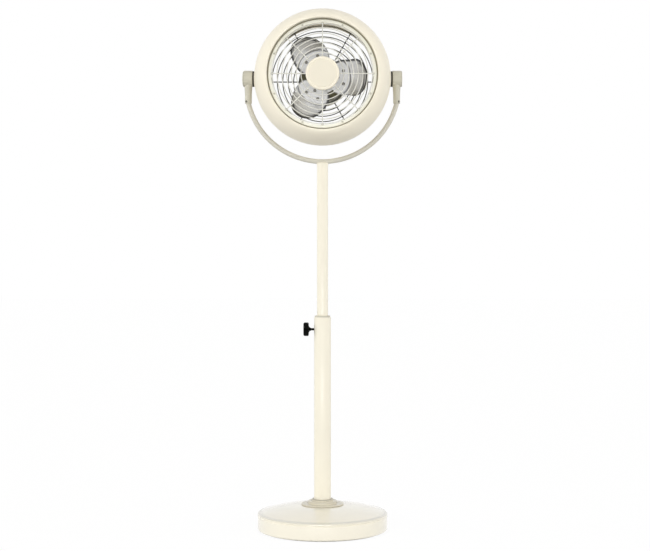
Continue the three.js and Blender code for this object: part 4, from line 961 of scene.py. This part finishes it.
class CIRCULATOR_OT_shells(bpy.types.Operator):
    """Head ring with its rolled lip, rear bowl with the pivot pads, flange and seal round the front wires"""

    bl_idname = "circulator.shells"
    bl_label = "Head shells"

    def execute(self, context):
        size = millimetres(context)
        crown, roll = size["ring_crown"], size["ring_roll"]
        front, seam_depth = RING[0][1], RING[1][1]
        seam, foremost = crown - 0.6, crown - roll
        self.ring(crown, seam, foremost, front, seam_depth)
        self.bowl(seam, seam_depth, size["bowl_roll"])
        self.flange()
        return {"FINISHED"}

    @staticmethod
    def ring(crown, seam, foremost, front, seam_depth):
        """Ring: a roll from the seam over the crown to the foremost circle, then the lip turned in, and the
        same 2.5 mm inside it, with a rebate for the bowl's tongue."""
        lip = foremost - 2.0
        reach = CROWN_DEPTH - front
        lip_roll = quarter((lip + 1.8, front + 1.8), (1.8, 1.8), -90, -180, 8)
        outside = quarter((foremost, CROWN_DEPTH), (crown - foremost, reach), 0, -90, 48, ROLL_FULLNESS)
        inner_size = (crown - foremost - SHELL_WALL, reach - SHELL_WALL)
        inside = quarter((foremost, CROWN_DEPTH), inner_size, -86, -17, 24, ROLL_FULLNESS)
        outline = np.concatenate([
            [(seam - 0.5, seam_depth), (seam, seam_depth - 0.6)], outside, lip_roll,
            [(lip, front + 5.9), (lip + 0.5, front + 6.4), (lip + 2.0, front + 6.4)], inside,
            [(seam - 2.0, seam_depth - 12.4), (seam - 2.0, seam_depth)]])
        add_piece("head_ring", [on_fan(outline, 240)], "cream_shell", "head", ["front_bezel"])

    @classmethod
    def bowl(cls, seam, seam_depth, roll):
        """Bowl: a roll from the seam to the flat rear rim, its tongue inside the ring, and two pads."""
        rear, start, tongue = BOWL[1][1], seam_depth + 0.3, seam - 2.4
        rim, lip = seam - roll, seam - roll - 4.5
        depth = rear - CROWN_DEPTH
        outside = quarter((rim, CROWN_DEPTH), (roll, depth), 15, 90, 40, ROLL_FULLNESS)
        inside = quarter((rim, CROWN_DEPTH), (roll - SHELL_WALL, depth - SHELL_WALL), 90, 10, 24,
                         ROLL_FULLNESS)
        outline = np.concatenate([
            [(tongue - SHELL_WALL, start - 12), (tongue, start - 12), (tongue, start), (seam - 0.5, start),
             (seam, start + 0.6)], outside, [(lip + 0.8, rear), (lip, rear - 0.8), (lip, rear - SHELL_WALL)],
            inside, [(tongue - SHELL_WALL, start + 2.7)]])
        pads = [cls.pad(side, outside) for side in (-1, 1)]
        add_piece("rear_bowl", [on_fan(outline, 240)] + pads, "cream_shell", "head",
                  ["rear_housing"])

    @staticmethod
    def pad(side, outside):
        """Pivot pad with a hole for the bolt. Its foot follows the bowl: at y and z it starts at the root of
        the bowl's radius at y squared less z squared, less a sink, and each row goes a share of the way from
        there to the pad's flat face."""
        face = BOWL[1][0]
        rows = np.array([
            (BOLT_HOLE, 1.0, 0), (BOLT_HOLE, 0, 1.6), (17.0, 0, 1.6), (20.6, 0, 0.9), (20.2, 0, 0),
            (19.2, 0.06, 0), (18.4, 0.22, 0), (17.9, 0.5, 0), (17.7, 0.86, 0), (17.5, 0.95, 0),
            (17.1, 1.0, 0)])
        radius, share, sink = rows.T[:, :, None]
        angle = angles(96)
        y, z = radius * np.cos(angle), radius * np.sin(angle)
        surface = np.sqrt(np.interp(y, outside[:, 1], outside[:, 0]) ** 2 - z ** 2) - sink
        x = surface + share * (face - surface)
        return shell(np.stack([side * x, y, z], -1) + TILT, join_rows=True)

    @staticmethod
    def flange():
        """Flange round the wires with a groove for the seal under the ring's lip, round screw bosses on it,
        and small cross-slotted screws in them."""
        low, high = corners("grille_frame")
        inner, face, screw_circle = 112.0, low[1], 114.4
        place = TILT + (screw_circle, 0, 0)
        outer, skirt = high[0] - TILT[0], high[1]
        outline = rounded([
            (inner, face + 1.8, 0.4), (inner, face, 0.8), (118.6, face, 0.4), (118.9, face + 1.0, 0.2),
            (122.1, face + 1.0, 0.2), (122.5, face, 0.3), (outer, face, 1.0), (outer, skirt, 0.3),
            (outer - 1.8, skirt, 0.3), (outer - 1.8, face + 1.8, 0.5)], 5)
        boss = rounded([(0, face + 1.0, 0), (3.6, face + 1.0, 0), (3.3, face - 0.9, 0.5),
                        (2.5, face - 0.9, 0.3), (2.4, face - 0.3, 0.1), (0, face - 0.3, 0)], 4)
        bosses = around(turned(boss, Y_AXIS, place, 40), 8, 22.5)
        add_piece("grille_flange", [on_fan(outline, 240)] + bosses, "flange_paint", "head",
                  ["grille_frame"])
        # The seal ring's dark colour is partly painted shade in the gap under the ring's lip.
        seal = rounded([(119.0, face + 0.9, 0), (119.0, face - 0.4, 0.4), (121.9, face - 0.4, 0.4),
                        (121.9, face + 0.9, 0)], 4)
        add_piece("lip_seal", [on_fan(seal, 240)], "seal", "head")
        head = rounded([(0, face - 0.2, 0), (2.2, face - 0.2, 0), (2.2, face - 0.6, 0.2),
                        (1.0, face - 1.0, 0.3), (0, face - 1.0, 0)], 3)
        slot = rod(place + (-1.5, face - 0.95, 0), place + (1.5, face - 0.95, 0), 0.28, 8, 0.5)
        screws = around(turned(head, Y_AXIS, place, 28), 8, 22.5)
        screws += [part for turn in (0, 90) for part in around(spun(slot, turn, Y_AXIS, place), 8, 22.5)]
        add_piece("flange_screws", screws, "painted_screw", "head")


# ---------------------------------------------------------------- grilles and badge


class CIRCULATOR_OT_grilles(bpy.types.Operator):
    """Front wires with the hub badge, and the dark rear wires behind the blades"""

    bl_idname = "circulator.grilles"
    bl_label = "Grilles"

    def execute(self, context):
        size = millimetres(context)
        self.front(size)
        self.rear(size)
        self.badge()
        return {"FINISHED"}

    @staticmethod
    def front(size):
        """Front wires: circles of equal pitch behind straight spokes, on a plate behind the badge."""
        face = corners("grille_frame")[0][1]
        spoke_depth, wire = face - 1.5, size["front_wire"]
        innermost, outermost, spoke_start, spoke_end, spoke_wire = 47.0, 110.0, 26.0, 114.2, 1.2
        radii = np.linspace(innermost, outermost, size["front_rings"])
        parts = [hoop(r, wire, spoke_depth + 1.5) for r in radii]
        spoke = rod(TILT + (spoke_start, spoke_depth, 0), TILT + (spoke_end, spoke_depth, 0), spoke_wire, 14)
        parts += around(spoke, size["front_spokes"])
        plate = rounded([(2.1, face - 0.8, 0), (36.0, face - 0.8, 0.4), (36.0, face + 0.7, 0.4),
                         (2.1, face + 0.7, 0)], 3)
        parts.append(on_fan(plate, 96))
        add_piece("front_wires", parts, "wire", "head", ["front_grille"])
        clip = TILT + (110.9, spoke_depth, 0)
        end = rod(clip - (0, 0.7, 0), clip + (0, 2.4, 0), 2.0, 20, 0.4)
        add_piece("spoke_clips", around(end, size["front_spokes"]), "seal", "head")

    @staticmethod
    def rear(size):
        """Rear wires: circles of equal pitch in front of straight spokes that start on a flat ring."""
        innermost, outermost, spoke_start, spoke_end, spoke_wire = 66.0, 128.0, 34.0, 129.0, 1.3
        back = corners("rear_grille")[1][1] - spoke_wire
        radii = np.linspace(innermost, outermost, size["rear_rings"])
        parts = [hoop(r, size["rear_wire"], back - 1.6) for r in radii]
        spoke = rod(TILT + (spoke_start, back, 0), TILT + (spoke_end, back, 0), spoke_wire, 14)
        parts += around(spoke, size["rear_spokes"])
        hole, rim, front, rear = 20.0, 54.0, 43.0, 44.8
        plate = rounded([(hole, front, 0.4), (rim, front, 0.4), (rim, rear, 0.4), (hole, rear, 0.4)], 3)
        parts.append(on_fan(plate, 120))
        add_piece("rear_wires", parts, "dark_wire", "head", ["rear_grille"])

    @staticmethod
    def badge():
        """Bare hub badge: a slightly domed disc with a rounded rim and one fine groove."""
        low, high = corners("hub_badge")
        rim, front, back = high[0] - TILT[0], low[1], high[1]
        boss = 6.0
        outline = rounded([
            (0, back - 3.4, 0), (2.1, back - 3.4, 0), (2.1, back, 0.2), (boss, back, 0.4),
            (boss, back - 4.8, 0.5), (rim - 2.6, back - 4.8, 0.5), (rim - 2.6, back, 0.3), (rim, back, 0.4),
            (rim, front + 0.5, 3.0), (32.2, front + 0.25, 0.4), (31.6, front + 0.95, 0.3),
            (30.7, front + 0.95, 0.3), (30.1, front + 0.2, 0.5), (18.0, front + 0.07, 4.0), (0, front, 0)], 7)
        add_piece("hub_disc", [on_fan(outline, 160)], "badge_face", "head", ["hub_badge"])


# ---------------------------------------------------------------- blades

BLADE_PLANE = -26.0                        # depth of the blade's flat root
BLADE_ROOT, BLADE_WIDEST, BLADE_TIP = 24.0, 55.0, 101.5
BLADE_HALF = 40.0                          # half the width where it is widest
PANEL_MIDDLE, PANEL_HALF_LENGTH, PANEL_HALF_WIDTH, PANEL_NORM = 77.0, 15.5, 29.0, 2.4
PAD_MIDDLE, PAD_HALF_LENGTH, PAD_HALF_WIDTH = 33.0, 29.0, 40.0
RIVETS = ((34.0, 0.0), (49.0, -17.4), (49.0, 17.4))


def blade_half(along):
    """Half the blade's width: widest in the middle, a little narrower at the root, and rounded at the tip."""
    inward = np.clip((BLADE_WIDEST - along) / (BLADE_WIDEST - BLADE_ROOT), 0, 1)
    outward = np.clip((along - BLADE_WIDEST) / (BLADE_TIP - BLADE_WIDEST), 0, 1)
    tip = np.sqrt(np.clip(1 - outward ** 2.6, 0, 1))
    return np.where(along < BLADE_WIDEST, BLADE_HALF - 9.0 * inward ** 3, BLADE_HALF * tip)


def blade_depth(along, over, size):
    """Depth of the blade's middle surface: flat at the rivets, pitched and dished outside them, with the rim
    curled back and a bead pressed along a rounded outline inside it."""
    twist = smooth(along, 56.0, 80.0)
    dish = (over / BLADE_HALF) ** 2 - 0.4
    depth = BLADE_PLANE - twist * (0.76 * over + 4.5 * dish)
    to_edge = blade_half(along) - np.abs(over)
    outer = smooth(along, 58.0, 70.0)
    depth = depth + outer * size["blade_curl"] * np.clip(1 - to_edge / 4.5, 0, 1) ** 2
    panel = blade_panel(along, over)
    ridge = np.exp(-((panel - 1) / 0.055) ** 2)
    sunk = smooth(panel, 1.08, 0.92)
    return depth - size["blade_bead"] * ridge + 0.6 * sunk + 0.7 * smooth(blade_pad(along, over), 0.98, 1.02)


def blade_panel(along, over):
    """1 on the bead round the blade's panel and less inside it: the two shares of its half size, each to a
    power, added, and the root of the sum."""
    lengthwise = np.abs(along - PANEL_MIDDLE) / PANEL_HALF_LENGTH
    widthwise = np.abs(over) / PANEL_HALF_WIDTH
    return (lengthwise ** PANEL_NORM + widthwise ** PANEL_NORM) ** (1 / PANEL_NORM)


def blade_pad(along, over):
    """1 on the step round the flat root and less inside it: an ellipse about a point of the blade's middle
    line."""
    return np.hypot((along - PAD_MIDDLE) / PAD_HALF_LENGTH, over / PAD_HALF_WIDTH)


def blade_tone(along, over):
    """Brightness of the metal with painted shade, 1 where unshaded: painted shade on the curled rim, most on the
    leading side and the tip, along the outer bead, on the step round the root, and in a band on the trailing side."""
    outward = np.clip((along - BLADE_WIDEST) / (BLADE_TIP - BLADE_WIDEST), 0, 1)
    across_tip = BLADE_HALF * (1 - np.sqrt(outward ** 2.6 + (over / BLADE_HALF) ** 2))
    inside = np.where(along > BLADE_WIDEST, across_tip, blade_half(along) - np.abs(over))
    leading, tip = smooth(over, -6.0, 10.0), smooth(along, 86.0, 96.0)
    strong = np.maximum(leading, tip)
    rim = (0.55 + 0.42 * strong) * smooth(inside, 3.4 + 3.2 * strong, 1.8 + 1.4 * strong)
    bead = 0.78 * np.exp(-((blade_panel(along, over) - 1) / 0.09) ** 2) * smooth(along, 74.0, 84.0)
    step = 0.85 * np.exp(-((blade_pad(along, over) - 1.02) / 0.055) ** 2) * smooth(inside, 1.0, 5.0)
    band = 0.25 * smooth(inside, 15.0, 5.0) * (1 - leading) * smooth(along, 60.0, 70.0)
    return 1 - np.clip(np.maximum.reduce([rim, bead, step]) + band, 0, 0.97)


def blade_sheet(size, thickness=1.2):
    """Blade as a closed sheet along +X. Rows run from root to tip, and each row goes out along the front skin
    and back along the rear one, half the thickness each side, with the thickness rounded off at the rim."""
    t = np.linspace(0, 1, 96)
    along = BLADE_ROOT + (BLADE_TIP - BLADE_ROOT) * np.sin(math.pi / 2 * t) ** 0.85
    along = np.concatenate([along[:1], along, along[-1:]])[:, None]
    w = np.linspace(-1, 1, 97)
    v = np.sin(math.pi / 2 * w)[None, :] * 0.35 + w[None, :] * 0.65
    over = blade_half(along) * v
    edge = np.sqrt(np.clip(1 - np.abs(v) ** 40, 0, 1)) * np.ones_like(along)
    edge[[0, -1]] = 0
    depth = blade_depth(along, over, size)
    front, rear = depth - edge * thickness / 2, depth + edge * thickness / 2
    spread = along + 0 * over
    skins = [np.stack([spread, skin, over], -1) for skin in (front, rear)]
    points = np.concatenate([skins[0], skins[1][:, -2:0:-1]], axis=1)
    return shell(points + TILT)


class CIRCULATOR_OT_rotor(bpy.types.Operator):
    """Three pressed blades, the riveted spider behind them, and the nut on the shaft"""

    bl_idname = "circulator.rotor"
    bl_label = "Blades and hub"

    def execute(self, context):
        size = millimetres(context)
        blade = blade_sheet(size)
        along, _, over = (blade[0] - TILT).T
        # The tone attribute carries the blades' painted shade to their finish.
        tone = blade_tone(along, over).astype(np.float32)
        for k in range(3):
            piece = add_piece(f"fan_blade_{k + 1}", [spun(blade, -120 * k)], f"blade_{k + 1}", "rotor",
                              [f"blade_{k + 1}"], crease=60)
            piece.data.attributes.new("tone", "FLOAT", "POINT").data.foreach_set("value", tone)
        self.spider()
        low, high = corners("blade_nut")
        nut = rounded([(0, high[1], 0), (9.0, high[1], 0.4), (9.0, high[1] - 5.4, 0.5),
                       (6.6, high[1] - 6.0, 0.8), (5.0, low[1] + 0.8, 1.4), (0, low[1], 0)], 5)

        def hexagonal(radius, height, angle):
            """Radius held to six flats, each the apothem over the cosine of the angle from its middle."""
            off = (angle + math.pi / 6) % (math.pi / 3) - math.pi / 6
            return np.minimum(radius, 7.8 / np.cos(off))

        add_piece("dome_nut", [on_fan(nut, 96, hexagonal)], "steel", "rotor", ["blade_nut"])
        return {"FINISHED"}

    @staticmethod
    def spider():
        """Spider plate with three round lobes, its hub sleeve, and the rivets that hold the blades."""
        disc, lobe, centre = 36.0, 19.0, 40.0

        def lobed(radius, height, angle):
            """Radius of the disc or of the nearest lobe, whichever is larger, times the outline's share."""
            off = (angle + math.pi / 3) % (FULL_TURN / 3) - math.pi / 3
            reach = np.sqrt(np.clip(lobe ** 2 - (centre * np.sin(off)) ** 2, 0, None))
            out = np.where(np.abs(centre * np.sin(off)) < lobe, centre * np.cos(off) + reach, 0)
            soft = (disc ** 24 + out ** 24) ** (1 / 24)
            return radius * soft

        plate = [(0, -25.1), (0.992, -25.1), (1.0, -24.8), (1.0, -22.4), (0.992, -22.1), (0, -22.1)]
        sleeve_part = rounded([(4.3, -34, 0.3), (14, -34, 0.8), (14, -14, 0.8), (4.3, -14, 0.3)], 5)
        first, _ = across(Y_AXIS)
        quarter_turn = math.degrees(math.atan2(first[2], first[0]))
        flat = spun(on_fan(plate, 360, lobed), quarter_turn)
        add_piece("blade_spider_plate", [flat, on_fan(sleeve_part, 72)], "blade_metal", "rotor",
                  ["blade_spider"])
        head = rounded([(0, -24.2, 0), (2.0, -24.2, 0), (2.0, -26.9, 0), (3.6, -26.9, 0.2), (3.4, -27.7, 0.5),
                        (2.0, -28.5, 0.8), (0, -28.6, 0)], 5)
        rivets = []
        for radius, degrees in RIVETS:
            turn = math.radians(degrees)
            rivet = turned(head, Y_AXIS, TILT + (radius * math.cos(turn), 0, radius * math.sin(turn)), 28)
            rivets += around(rivet, 3)
        add_piece("blade_rivets", rivets, "rivet", "rotor")


# ---------------------------------------------------------------- motor and rear


class CIRCULATOR_OT_motor(bpy.types.Operator):
    """Painted motor covers held by four through bolts"""

    bl_idname = "circulator.motor"
    bl_label = "Motor"

    def execute(self, context):
        low, high = corners("motor_front_cover")
        radius, front, split = high[0], low[1], high[1]
        wall, hole = 2.4, 5.0
        nose = rounded([
            (hole, front, 0.3), (13.0, front, 0.8), (14.2, front + 1.2, 0.8), (33.0, front + 1.2, 0.8),
            (34.2, front, 0.8), (radius - 8, front, 6.0), (radius, front + 8, 5.0), (radius, split, 0.2),
            (radius - wall, split, 0.2), (radius - wall, front + 8.4, 4.0), (radius - 8.4, front + wall, 3.0),
            (13.0, front + wall, 0.3), (13.0, front + 12.0, 0.3), (8.3, front + 12.0, 0.2),
            (8.3, front + 2.1, 0.2), (hole, front + 2.1, 0)], 6)
        # The olive motor paint is painted shade on what is a cream cover.
        add_piece("motor_nose", [on_fan(nose, 144)], "motor_paint", "head",
                  ["motor_front_cover"])
        low, high = corners("motor_rear_bracket")
        start, back = low[1], high[1]
        tail = rounded([
            (radius - wall, start, 0.2), (radius, start, 0.2), (radius, back - 8, 5.0),
            (radius - 8, back, 5.0), (hole, back, 0.3), (hole, back - 0.6, 0), (8.3, back - 0.6, 0),
            (8.3, back - 10.6, 0.2), (13.0, back - 10.6, 0.3), (13.0, back - wall, 0.3),
            (radius - 8.4, back - wall, 3.0), (radius - wall, back - 8.4, 3.0)], 6)
        add_piece("motor_tail", [on_fan(tail, 144)], "motor_paint", "head",
                  ["motor_rear_bracket"])
        screw = rounded([(0, front + 1.6, 0), (3.0, front + 1.6, 0), (3.0, front + 0.2, 0.4),
                         (1.2, front - 0.7, 0.4), (0, front - 0.7, 0)], 4)
        bolt_circle = 38.6
        bolts = around(turned(screw, Y_AXIS, TILT + (bolt_circle, 0, 0), 30), 4, 45)
        add_piece("motor_bolts", bolts, "steel", "head")
        return {"FINISHED"}


class CIRCULATOR_OT_rear(bpy.types.Operator):
    """Rear cover with its dial figures, the cord gland under it and the fluted speed knob"""

    bl_idname = "circulator.rear"
    bl_label = "Rear cover and speed knob"

    def execute(self, context):
        size = millimetres(context)
        low, high = corners("rear_cover")
        radius, front, back = high[0], low[1], high[1]
        shoulder, flat, wall = back - 24.0, 36.0, 2.2
        outside = quarter((flat, shoulder), (radius - flat, back - shoulder), 0, 90, 24)
        inside = quarter((flat, shoulder), (radius - flat - wall, back - shoulder - wall), 90, 0, 18)
        hole = 4.9
        groove = [(radius, front + 4.2), (radius - 0.7, front + 4.7), (radius - 0.7, front + 5.3),
                  (radius, front + 5.8)]
        outline = np.concatenate([
            [(radius - wall, front), (radius - 0.4, front), (radius, front + 0.4)], groove, outside,
            [(28.6, back), (28.2, back - 0.5), (27.6, back - 0.5), (27.2, back)],
            [(hole, back), (hole, back - wall)], inside])
        gland_axis = middle("cord_gland")
        drill = rod(gland_axis + (0, 0, 12), gland_axis - (0, 0, 6), 5.9, 40, 0.1)
        add_piece("switch_cover", [on_fan(outline, 192)], "cream_shell", "head", ["rear_cover"],
                  cut_by=[drill])
        self.screws(radius, shoulder)
        self.gland()
        self.knob(size)
        self.figures(back)
        return {"FINISHED"}

    @staticmethod
    def screws(radius, shoulder):
        """Three small screws round the cover's side."""
        head = rounded([(0, radius - 1.0, 0), (3.0, radius - 1.0, 0), (3.0, radius + 0.4, 0.4),
                        (1.4, radius + 1.0, 0.4), (0, radius + 1.0, 0)], 4)
        parts = around(turned(head, X_AXIS, TILT + (0, shoulder - 5, 0), 30), 3, 30)
        add_piece("cover_screws", parts, "steel", "head")

    @staticmethod
    def gland():
        """Ribbed gland, open below where the cord would pass."""
        low, high = corners("cord_gland")
        centre = middle("cord_gland") * (1, 1, 0)
        foot, top = low[2], high[2]
        rim = (high[0] - low[0]) / 2
        radii = (6.6, 7.2, 6.4, 7.4, 6.6, 7.6, 6.8, 7.8, 7.0)
        ribs = [(r, foot + 0.9 + 0.62 * k, 0.15) for k, r in enumerate(radii)]
        outline = rounded([(3.2, foot, 0.3), (6.2, foot, 0.6)] + ribs
                          + [(rim, foot + 6.6, 0.4), (rim, foot + 9.0, 0.4), (5.6, foot + 9.0, 0.2),
                             (5.6, top, 0.4), (3.2, top, 0.3)], 3)
        add_piece("cord_bush", [turned(outline, Z_AXIS, centre, 72)], "black_plastic", "head", ["cord_gland"])

    @staticmethod
    def knob(size):
        """Speed knob: a fluted grip with a sunk face, and a raised pointer towards the first figure."""
        low, high = corners("speed_knob")
        front, back, rim = low[1], high[1], high[0]
        flutes = size["speed_flutes"]
        outline = rounded([
            (3.3, front + 9.0, 0), (3.3, front, 0.2), (rim, front, 0.5), (rim, front + 2.0, 0.3),
            (rim - 0.7, front + 2.6, 0.3), (rim - 1.2, back - 1.2, 1.6), (rim - 4.0, back, 1.2),
            (9.4, back, 0.6), (8.8, back - 0.7, 0.5), (0, back - 0.5, 0), (0, front + 9.0, 0)], 6)

        def fluted(radius, height, angle):
            """Radius less a hollow at each flute, between the knob's skirt and its face."""
            hollow = np.maximum(0, np.cos(angle * flutes)) ** 2
            level = smooth(height, front + 2.2, front + 5.0) * smooth(radius, 8.5, 12.0)
            return radius - 1.5 * hollow * level

        add_piece("speed_grip", [on_fan(outline, 216, fluted)], "black_plastic", "speed_dial",
                  ["speed_knob"])
        start = dial_direction(0)
        inner, outer, sunk = 7.4, 11.6, Y_AXIS * (back - 0.35)
        line = rod(TILT + start * inner + sunk, TILT + start * outer + sunk, 0.45, 12)
        add_piece("speed_pointer", [line], "cream_shell", "speed_dial")

    @staticmethod
    def figures(back):
        """Figures 0 to 3 and their ticks on the cover round the knob, raised a third of a millimetre."""
        tick_start, tick_end, figure_circle = 17.5, 20.5, 24.2
        raised, ways = Y_AXIS * (back + 0.05), [dial_direction(k) for k in range(4)]
        whole = [mesh_from("dial_ticks", [rod(TILT + way * tick_start + raised,
                                              TILT + way * tick_end + raised, 0.4, 10) for way in ways])]
        for k, way in enumerate(ways):
            text = bpy.data.curves.new(f"figure_{k}", "FONT")
            text.body, text.size, text.extrude = str(k), 0.0062, 0.00015
            text.align_x, text.align_y, text.resolution_u = "CENTER", "CENTER", 6
            holder = link(bpy.data.objects.new(f"figure_{k}", text))
            view = bpy.context.evaluated_depsgraph_get()
            flat = bpy.data.meshes.new_from_object(holder.evaluated_get(view))
            bpy.data.objects.remove(holder)
            points = np.zeros(len(flat.vertices) * 3, np.float32)
            flat.vertices.foreach_get("co", points)
            points = points.reshape(-1, 3)
            spot = (TILT + way * figure_circle) * MM
            placed = np.stack([spot[0] - points[:, 0], back * MM + 0.0001 + points[:, 2],
                               spot[2] + points[:, 1]], -1)
            flat.vertices.foreach_set("co", placed.astype(np.float32).ravel())
            flat.update()
            whole.append(flat)
        piece = link(bpy.data.objects.new("dial_figures", merge_meshes("dial_figures", whole)))
        piece.data.materials.append(finish_of("figures"))
        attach(piece, "head")


def merge_meshes(name, meshes):
    """One mesh with the points and faces of several."""
    points, faces, offset = [], [], 0
    for mesh in meshes:
        flat = np.zeros(len(mesh.vertices) * 3, np.float32)
        mesh.vertices.foreach_get("co", flat)
        points.append(flat.reshape(-1, 3))
        faces += [[corner + offset for corner in face.vertices] for face in mesh.polygons]
        offset += len(mesh.vertices)
    merged = bpy.data.meshes.new(name)
    merged.from_pydata(np.concatenate(points), [], faces)
    merged.update()
    return merged


def dial_direction(step):
    """Unit vector across the fan's axis from the knob to a dial figure. The knob turns 45 degrees a step."""
    joint = next(j for j in frame["joints"] if j["name"] == "speed_turn")
    sense = joint["axis"][1]
    turn = math.radians(-67.5 + 45.0 * step) * sense
    return np.array([math.sin(turn), 0.0, math.cos(turn)])


# ---------------------------------------------------------------- hidden pieces and stage


class CIRCULATOR_OT_hidden_pieces(bpy.types.Operator):
    """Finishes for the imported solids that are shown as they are"""

    bl_idname = "circulator.hidden_pieces"
    bl_label = "Inner pieces"

    def execute(self, context):
        slots = {row["node"]: row["material_slot"] for row in frame["record"]["subparts"]}
        for name, node in frame["nodes"].items():
            node.data.materials.clear()
            node.data.materials.append(finish_of(slots[name]))
        return {"FINISHED"}


class CIRCULATOR_OT_stage(bpy.types.Operator):
    """White floor that keeps the shadow, white surroundings, soft lamps and the level camera"""

    bl_idname = "circulator.stage"
    bl_label = "Stage"

    def execute(self, context):
        self.floor(context)
        self.surroundings(context)
        self.lamp("left_lamp", (-76, 10), 1.3, 40)
        self.lamp("right_lamp", (72, 10), 1.5, 45)
        self.lamp("key_lamp", (-32, 30), 0.45, 35)
        self.lamp("back_lamp", (160, 25), 0.5, 45)
        self.low_panel()
        self.camera(context)
        return {"FINISHED"}

    @staticmethod
    def background_rays(finish):
        """1 for the rays that show the background: camera, mirror and glass rays."""
        path = [finish.node("ShaderNodeLightPath", output=name)
                for name in ("Is Camera Ray", "Is Glossy Ray", "Is Transmission Ray")]
        return path[0].math("MAXIMUM", path[0].math("MAXIMUM", path[0], path[1]), path[2])

    def floor(self, context):
        """A wide disc. Seen directly, part of its white is its own light, so that the shadow on it stays
        faint."""
        white = bpy.data.materials.new("floor_white")
        finish, tint = Finish(white), tuple(context.scene.circulator_colours.floor)
        lit = finish.node("ShaderNodeBsdfDiffuse", {}, {"Color": shade(tint, 0.07)})
        own = finish.node("ShaderNodeEmission", {}, {"Color": tint, "Strength": 0.945})
        seen = finish.node("ShaderNodeAddShader", {}, {0: lit, 1: own})
        clouds = finish.mottled(finish.noise(2.0), tint, 0.57, 0.61)
        plain = finish.node("ShaderNodeBsdfDiffuse", {}, {"Color": clouds})
        finish.end("Material", finish.node("ShaderNodeMixShader", {},
                                           {0: self.background_rays(finish), 1: plain, 2: seen}))
        rings = np.array([(0, 0), (400, 0), (2000, 0), (30000, 0), (30000, -20), (0, -20)])
        mesh = mesh_from("floor", [turned(rings, sides=64)])
        mesh.materials.append(white)
        floor = link(bpy.data.objects.new("floor", mesh))

    def surroundings(self, context):
        """World light: softly brighter above and in front than below and behind, and plain white where it is
        seen."""
        world = bpy.data.worlds.new("surroundings")
        context.scene.world = world
        light = Finish(world, "Generated")
        up, back = light.coordinate("Z"), light.coordinate("Y")
        soft = light.node("ShaderNodeBackground", {}, {"Color": (1.0, 0.995, 0.985),
                                                       "Strength": 0.39 + 0.06 * up - 0.08 * back})
        white = light.node("ShaderNodeBackground", {}, {"Color": (1.0, 1.0, 1.0), "Strength": 1.0})
        light.end("World", light.node("ShaderNodeMixShader", {},
                                      {0: self.background_rays(light), 1: soft, 2: white}))

    @staticmethod
    def lamp(name, direction, strength, spread):
        """A wide sun. Its direction is an angle to the right of the camera's side and an angle above the
        level."""
        light = bpy.data.lights.new(name, "SUN")
        light.energy, light.angle = strength, math.radians(spread)
        lamp = link(bpy.data.objects.new(name, light))
        aside, above = (math.radians(angle) for angle in direction)
        lamp.rotation_euler = (math.pi / 2 - above, 0.0, aside)
        lamp.visible_glossy = False

    @staticmethod
    def low_panel():
        """A wide lamp near the floor in front, turned up to the head, that lights the insides of ring and
        bowl."""
        light = bpy.data.lights.new("low_panel", "AREA")
        light.shape, light.size, light.size_y, light.energy = "RECTANGLE", 2.0, 0.6, 36.0
        lamp = link(bpy.data.objects.new("low_panel", light))
        aside, away, height = -0.2, 3.0, 0.12
        lamp.location = (aside, -away, height)
        lamp.rotation_euler = (math.pi / 2 + math.atan2(TILT[2] * MM - height, away), 0.0,
                               math.atan2(aside, away))

    @staticmethod
    def camera(context):
        """Level camera at the photograph's height and distance, in metres, its lens in millimetres."""
        lens = bpy.data.cameras.new("photo_camera")
        lens.sensor_width, lens.lens, lens.clip_end = 36.0, 72.55, 100.0
        camera = link(bpy.data.objects.new("photo_camera", lens))
        aside, away, height = 0.0056, 2.95, 0.572
        camera.location, camera.rotation_euler = (aside, -away, height), (math.pi / 2, 0.0, 0.0)
        context.scene.camera = camera
        context.scene.view_settings.view_transform = "Standard"


# ---------------------------------------------------------------- panel and registration

OPERATORS = (CIRCULATOR_OT_hidden_pieces, CIRCULATOR_OT_base, CIRCULATOR_OT_pole, CIRCULATOR_OT_height_lock,
             CIRCULATOR_OT_yoke, CIRCULATOR_OT_shells, CIRCULATOR_OT_grilles, CIRCULATOR_OT_rotor,
             CIRCULATOR_OT_motor, CIRCULATOR_OT_rear, CIRCULATOR_OT_stage)


class CIRCULATOR_PT_panel(bpy.types.Panel):
    """Lists the steps and settings of the circulator"""

    bl_idname = "CIRCULATOR_PT_panel"
    bl_label = "Pedestal air circulator"
    bl_space_type = "VIEW_3D"
    bl_region_type = "UI"
    bl_category = "Circulator"

    def draw(self, context):
        column = self.layout.column(align=True)
        for operator in OPERATORS:
            column.operator(operator.bl_idname, text=operator.bl_label)
        for group in (context.scene.circulator_sizes, context.scene.circulator_colours):
            box = self.layout.box()
            for key in type(group).__annotations__:
                box.prop(group, key)


CLASSES = (CirculatorSizes, CirculatorColours) + OPERATORS + (CIRCULATOR_PT_panel,)


def register():
    for item in CLASSES:
        bpy.utils.register_class(item)
    bpy.types.Scene.circulator_sizes = bpy.props.PointerProperty(type=CirculatorSizes)
    bpy.types.Scene.circulator_colours = bpy.props.PointerProperty(type=CirculatorColours)


def unregister():
    del bpy.types.Scene.circulator_sizes, bpy.types.Scene.circulator_colours
    for item in reversed(CLASSES):
        bpy.utils.unregister_class(item)


def main():
    register()
    for operator in OPERATORS:
        group, name = operator.bl_idname.split(".")
        getattr(getattr(bpy.ops, group), name)()


if __name__ == "__main__":
    main()
